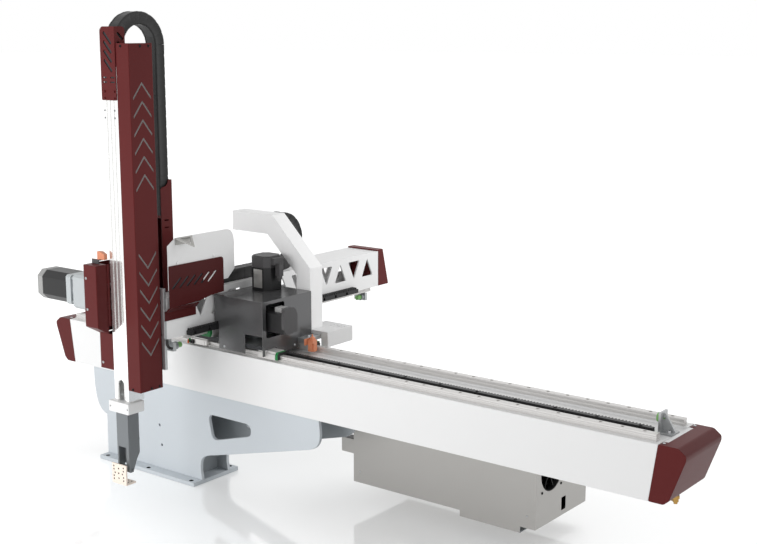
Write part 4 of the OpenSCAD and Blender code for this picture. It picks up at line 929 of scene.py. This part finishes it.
class ROBOT_OT_arm(bpy.types.Operator):
    """Arm profile, rail, rack, chevron cover, top bracket and end block"""

    bl_idname = "robot.arm"
    bl_label = "Arm"

    def execute(self, context):
        refine_all(ARM, context.scene.robot_sizes)
        low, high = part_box("arm_rail")
        zs = np.arange(low.z + 0.02, high.z - 0.008, RAIL_PITCH)
        c = (low + high) / 2
        grid = np.stack([np.full_like(zs, c.x), np.full_like(zs, high.y - 0.006), zs], -1)
        piece("arm_rail_screws", scattered(facing(flat_head(*RAIL_SCREW), (0, 1, 0)), grid),
              "screw_black", "arm")
        front = facing(dome_head(0.008, 0.0028), (0, -1, 0))
        right = facing(dome_head(0.008, 0.0028), (1, 0, 0))
        piece("chevron_screws",
              joined(scattered(front, ats([(657, -300, z) for z in (-66, 928)])),
                     scattered(right, ats([(690, y, z) for y in (-257, -226) for z in (-66, 928)]))),
              "screw_black", "arm")
        # Dark strip behind the bracket's slots, sunk in the plate's back, that paints shade in the slots
        low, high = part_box("top_bracket")
        strip = rounded_box((low.x + 0.012, CORNER[1] - 0.3012, low.z + 0.042),
                            (high.x - 0.006, CORNER[1] - 0.3005, low.z + 0.194), 0.0002)
        piece("bracket_strip", strip, "dark_plate", "arm")
        # Grey strip inside the chevron slits that paints the shaded inside seen through them
        strip = rounded_box(at(688.25, -295, -55), at(688.9, -216, 920), 0.0002)
        piece("chevron_strip", strip, "slit_grey", "arm")
        pins = ats([(x, -300, z) for x in (582, 624) for z in (747, 726)])
        piece("arm_pins", scattered(facing(dome_head(0.006, 0.001), (0, -1, 0)), pins), "gear_steel", "arm")
        return {"FINISHED"}


class ROBOT_OT_wrist(bpy.types.Operator):
    """Flip unit, lever and drilled tool plate"""

    bl_idname = "robot.wrist"
    bl_label = "Wrist"

    def execute(self, context):
        refine_all(WRIST, context.scene.robot_sizes)
        return {"FINISHED"}


class ROBOT_OT_sensors(bpy.types.Operator):
    """Orange proximity sensors on the carriage and the lift"""

    bl_idname = "robot.sensors"
    bl_label = "Sensors"

    def execute(self, context):
        refine_all(SENSORS, context.scene.robot_sizes)
        low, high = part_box("carriage_sensor")
        cone = turned([(0, 0), (0.006, 0), (0.0052, 0.002), (0.0028, 0.0035), (0, 0.0035)], 16)
        piece("sensor_cone", facing(cone, (0, 0, 1), (high.x - 0.010, low.y + 0.023, high.z - 0.010)),
              "sensor_orange", "carriage")
        return {"FINISHED"}


class ROBOT_PT_panel(bpy.types.Panel):
    """Lists the robot's groups of pieces, its sizes and tones"""

    bl_label = "Take-out robot"
    bl_idname = "ROBOT_PT_panel"
    bl_space_type = "VIEW_3D"
    bl_region_type = "UI"
    bl_category = "Robot"

    def draw(self, context):
        for op in STEPS:
            self.layout.operator(op.bl_idname)
        for group in (context.scene.robot_sizes, context.scene.robot_tones):
            for prop in group.bl_rna.properties:
                if prop.identifier not in ("rna_type", "name"):
                    self.layout.prop(group, prop.identifier)


STEPS = (ROBOT_OT_stage, ROBOT_OT_pedestal, ROBOT_OT_beam, ROBOT_OT_electrics, ROBOT_OT_carriage,
         ROBOT_OT_servos, ROBOT_OT_chains, ROBOT_OT_crossbeam, ROBOT_OT_arm, ROBOT_OT_wrist,
         ROBOT_OT_sensors)
CLASSES = (RobotSizes, RobotTones, *STEPS, ROBOT_PT_panel)


def register():
    for cls in CLASSES:
        bpy.utils.register_class(cls)
    bpy.types.Scene.robot_sizes = bpy.props.PointerProperty(type=RobotSizes)
    bpy.types.Scene.robot_tones = bpy.props.PointerProperty(type=RobotTones)


def unregister():
    del bpy.types.Scene.robot_tones
    del bpy.types.Scene.robot_sizes
    for cls in reversed(CLASSES):
        bpy.utils.unregister_class(cls)


def main():
    register()
    make_finishes(bpy.context.scene.robot_tones)
    for op in STEPS:
        group, action = op.bl_idname.split(".")
        getattr(getattr(bpy.ops, group), action)()


if __name__ == "__main__":
    main()
